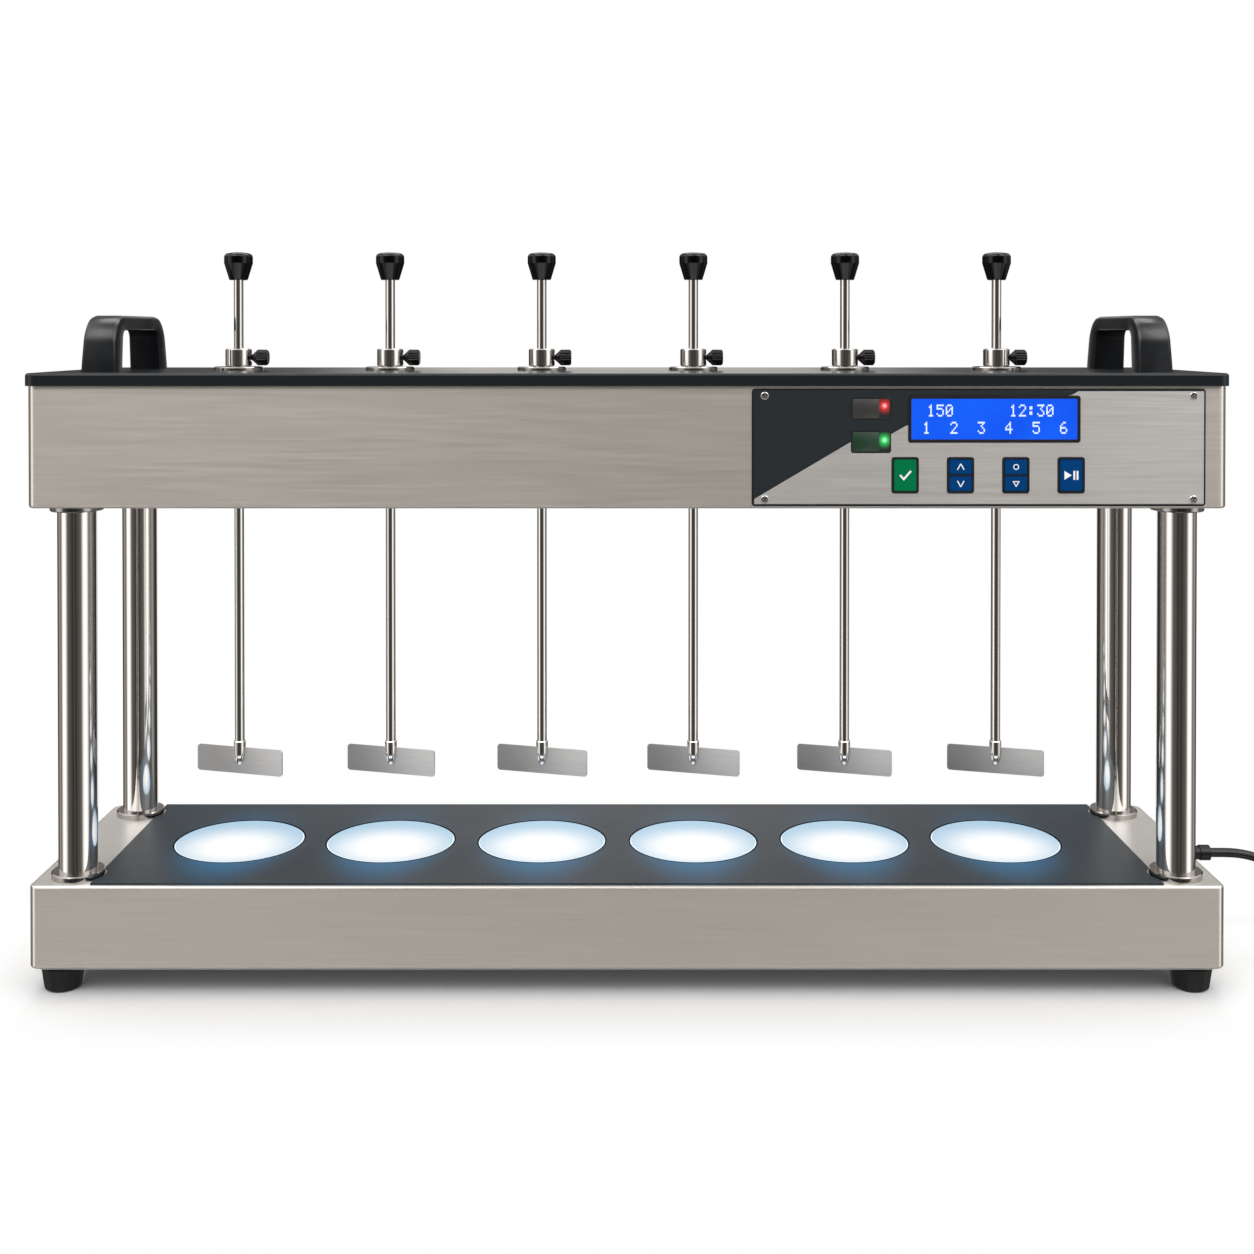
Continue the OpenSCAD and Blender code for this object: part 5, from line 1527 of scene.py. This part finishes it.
@dataclass
class ControlPanel:
    """Plate, display, indicator windows, lamps and keys.

    A row of cap_mm is the inset and depth of one ring of a key cap. A row of glows is the
    distance before the plate, the factor and lift of the lamp's colour, and the glow's outer
    and inner radius; the first row is a painted halo of the lamp's light on the smoked window.
    A row of label_rings is the inset, corner and depth of one ring.
    """

    x: float = 0.2735
    z: float = 0.4285
    plate_y: float = -0.105
    screen_y: float = -0.1052
    screen: Flat = (0.0118, 0.0229)
    char_pitch: float = 0.0071
    dot_pitch: Flat = (0.00112, 0.00134)
    dot: Flat = (0.00106, 0.00128)
    rows: tuple[tuple[str, float, float], ...] = (
        ("150      12:30", -0.0515, 0.0067), ("1  2  3  4  5  6", -0.0550, -0.0067))
    keys_x: float = -0.0574
    keys_z: float = -0.0207
    key_pitch: float = 0.043
    key_front: float = -0.1060
    key_back: float = -0.0966
    key_w: float = 0.0174
    key_h: float = 0.0244
    key_r: Span = (0.0004, 0.0012)
    key_r_loss: float = 0.4
    cap_mm: tuple[Flat, ...] = (
        (0.0, 0.7), (0.091, 0.35), (0.35, 0.091), (0.7, 0.0), (1.54, 0.04), (3.15, 0.16),
        (4.9, 0.22),
    )
    half_h: float = 0.0114
    half_shift: float = 0.0065
    ink_t: float = 0.00006
    lamp_x: float = -0.084
    lamp_z: tuple[float, float] = (0.031, 0.0052)
    lamp_off: tuple[Flat, Flat] = ((0.0104, 0.0022), (0.0104, 0.0014))
    glows: tuple[tuple[float, ...], ...] = (
        (0.0, 0.6, 0.0, 0.0092, 0.002), (0.0005, 0.95, 0.0, 0.0036, 0.0016),
        (0.001, 1.0, 0.7, 0.0014, 0.0004),
    )
    window: Flat = (0.02924, 0.01564)
    label_ratio: float = 1.32
    label_gap: float = 0.0004
    label_rings: tuple[Point, ...] = (
        (0.0, 0.0011, 0.0001), (0.0, 0.0011, -0.0001), (0.0004, 0.0008, -0.00035))
    label_tints: tuple[Colour, Colour] = ((0.032, 0.030, 0.029), (0.010, 0.040, 0.019))

    def display(self) -> None:
        """Blue display with plain numbers in a dot matrix."""
        dress_nodes({"display_screen": DISPLAY})
        (sx, sz), (pitch_x, pitch_z) = self.screen, self.dot_pitch
        y = self.screen_y - self.ink_t / 2
        spots = []
        for text, left, middle in self.rows:
            for place, sign in enumerate(text):
                x = self.x + sx + left + place * self.char_pitch
                for line, dots in enumerate(DIGITS.get(sign, ())):
                    z = self.z + sz + middle + (3 - line) * pitch_z
                    spots += [(x + column * pitch_x, y, z)
                              for column, lit in enumerate(dots) if lit == "1"]
        dot = Shape()
        w, t, h = self.dot[0] / 2, self.ink_t / 2, self.dot[1] / 2
        dot.box((-w, -t, -h), (w, t, h))
        mesh = copies("display_digits", spots, dot, PIXEL)
        finished("display_digits", mesh, PIXEL, STAND, crease=30.0)

    def middle(self, key: Key) -> Flat:
        """X and Z of a key's middle."""
        return (self.x + self.keys_x + key.column * self.key_pitch,
                self.z + self.keys_z + key.shift)

    def cap(self, key: Key) -> None:
        """Key cap with a rounded edge and a shallow dish, on its key's body."""
        cx, cz = self.middle(key)
        smallest, widest = self.key_r
        profile = [(0.0, self.key_back)]
        profile += [(inset * MM, self.key_front + back * MM) for inset, back in self.cap_mm]
        rings = []
        for inset, y in profile:
            corner = max(smallest, widest - inset * self.key_r_loss)
            outline = round_rect(self.key_w - 2 * inset, key.height - 2 * inset, corner, 5)
            rings.append([(cx + px, y, cz + pz) for px, pz in outline])
        shape = Shape()
        shape.loft(rings)
        shape.piece(key.node + "_cap", key.finish, key.node + "_body", key.slot, (key.node,), 50.0)

    def stroke(self, shape: Shape, points: Sequence[Flat], width: float, front: float,
               closed: bool = False) -> None:
        """Adds an inked line of even width on a key's face.

        Args:
            shape: Shape to add to.
            points: The line, in panel coordinates.
            width: Width of the line.
            front: Y of the ink's front.
            closed: Whether the line ends where it starts.
        """
        count = len(points)
        back = front + 2 * self.ink_t
        rings = []
        for i, point in enumerate(points):
            line = []
            if closed or i:
                line.append((points[i - 1], point))
            if closed or i < count - 1:
                line.append((point, points[(i + 1) % count]))
            ways = [Vector((b[0] - a[0], b[1] - a[1])).normalized() for a, b in line]
            normals = [Vector((-w.y, w.x)) for w in ways]
            mean = sum(normals, Vector((0.0, 0.0))).normalized()
            reach = width / 2 / max(0.35, mean.dot(normals[0]))
            (x, z), dx, dz = point, mean.x * reach, mean.y * reach
            rings.append([(x + dx, front, z + dz), (x - dx, front, z - dz),
                          (x - dx, back, z - dz), (x + dx, back, z + dz)])
        shape.loft(rings, closed=closed)

    def solid(self, shape: Shape, outline: Sequence[Flat], front: float) -> None:
        """Adds an inked area on a key's face."""
        back = front + 2 * self.ink_t
        shape.loft([[(x, y, z) for x, z in outline] for y in (front, back)])

    def sign(self, key: Key, draw: Callable[[Shape, float, float, float], None]) -> None:
        """Makes one key's sign.

        Args:
            key: The key; the sign rides on its body.
            draw: Adds the sign to a shape round a middle, given X, Z and the ink's front.
        """
        shape = Shape()
        dish = self.cap_mm[-1][1] * MM
        draw(shape, *self.middle(key), self.key_front + dish - self.ink_t)
        shape.piece(key.node + "_sign", INK, key.node + "_body", key.slot)

    def line(self, points_mm: Sequence[Flat], width_mm: float, closed: bool = False) -> Callable:
        """Drawing of a sign that is one stroke through points about the key's middle."""

        def draw(shape: Shape, cx: float, cz: float, front: float) -> None:
            """Adds the stroke."""
            spots = [(cx + px * MM, cz + pz * MM) for px, pz in points_mm]
            self.stroke(shape, spots, width_mm * MM, front, closed)

        return draw

    def play(self, shape: Shape, cx: float, cz: float, front: float) -> None:
        """Adds a triangle and two bars."""
        half, bar = 3.5, 1.5
        areas = [[(-5.5, -half), (-5.5, half), (0.2, 0.0)]]
        areas += [[(x, -half), (x, half), (x + bar, half), (x + bar, -half)] for x in (1.4, 3.9)]
        for area in areas:
            self.solid(shape, [(cx + px * MM, cz + pz * MM) for px, pz in area], front)

    def keys(self) -> None:
        """Green and blue keys with plain signs."""
        up, down = self.half_shift, -self.half_shift
        signs = {
            Key("ok_key", 0, 0.0, self.key_h, GREEN_KEY, "key_green"):
                self.line([(-4.2, 0.2), (-1.2, -3.0), (4.4, 3.4)], 1.5),
            Key("speed_up_key", 1, up, self.half_h):
                self.line([(-2.6, -2.2), (0.0, 2.4), (2.6, -2.2)], 0.85),
            Key("speed_down_key", 1, down, self.half_h):
                self.line([(-2.6, 2.2), (0.0, -2.4), (2.6, 2.2)], 0.85),
            Key("menu_up_key", 2, up, self.half_h):
                self.line(arc((0.0, 0.0), 1.9, 0, 345, 23), 0.75, True),
            Key("menu_down_key", 2, down, self.half_h):
                self.line([(-2.2, 1.6), (2.2, 1.6), (0.0, -2.2)], 0.75, True),
            Key("start_key", 3, 0.0, self.key_h): self.play,
        }
        for key in sorted(signs, key=lambda key: key.slot):
            self.cap(key)
        for key, draw in signs.items():
            self.sign(key, draw)

    def lamps(self) -> None:
        """Indicator windows with a painted halo round each lamp, their label fields, and the
        lamps' lenses.
        """
        painted_halo, lit = [], []
        for lamp, z, (off_x, off_z) in zip(Lamp, self.lamp_z, self.lamp_off):
            cx, cz = self.x + self.lamp_x + off_x, self.z + z + off_z
            # Painted light: the first glow is a halo painted on the smoked window, the others are
            # the lit lenses.
            spots = [((cx, self.plate_y - out, cz), shade(lamp.value, factor, lift), *radii)
                     for out, factor, lift, *radii in self.glows]
            painted_halo.append(spots[0])
            lit += spots[1:]
        smoke_and_halo = LampGlow("smoked_window", (0.022, 0.024, 0.025), 0.3, spots=tuple(painted_halo), power=2.4)
        lens = LampGlow("lamp_lenses", (0.1, 0.1, 0.1), 0.2, spots=tuple(lit))
        dress_nodes({"indicator_windows": smoke_and_halo, "indicator_lamps": lens})
        for lamp, z, tint in zip(Lamp, self.lamp_z, self.label_tints):
            self.label(f"label_field_{lamp.name.lower()}", self.z + z, tint)

    def label(self, name: str, cz: float, tint: Colour) -> None:
        """Printed field at the left of an indicator window.

        Args:
            name: Name of the piece and of its surface.
            cz: Height of its middle.
            tint: Its colour.
        """
        gap, high = self.label_gap, self.window[1]
        wide = high * self.label_ratio
        cx = self.x + self.lamp_x - self.window[0] / 2 + wide / 2 + gap
        rings = []
        for inset, corner, front in self.label_rings:
            outline = round_rect(wide - 2 * inset, high - 2 * (gap + inset), corner, 4)
            rings.append([(cx + px, self.plate_y + front, cz + pz) for px, pz in outline])
        shape = Shape()
        shape.loft(rings)
        shape.piece(name, MouldedPlastic(name, tint, 0.35, highlight=0.8), STAND, "smoked_window")

    def build(self) -> None:
        """Dresses the panel and makes its details."""
        dress_nodes({"control_panel": PANEL, "panel_frame": RIM, "panel_screws": SCREW})
        self.display()
        self.keys()
        self.lamps()


def main() -> None:
    """Builds the scene in order: camera and cord first, then the sub-assemblies."""
    logging.basicConfig(level=logging.INFO, format="%(name)s: %(message)s")
    for part in (Studio(), PowerLead(), Housings(), LitWindows(), CarryHandles(), Stirrers(),
                 Drive(), ControlPanel()):
        part.build()
        LOG.info("%s finished", type(part).__name__)


if __name__ == "__main__":
    main()
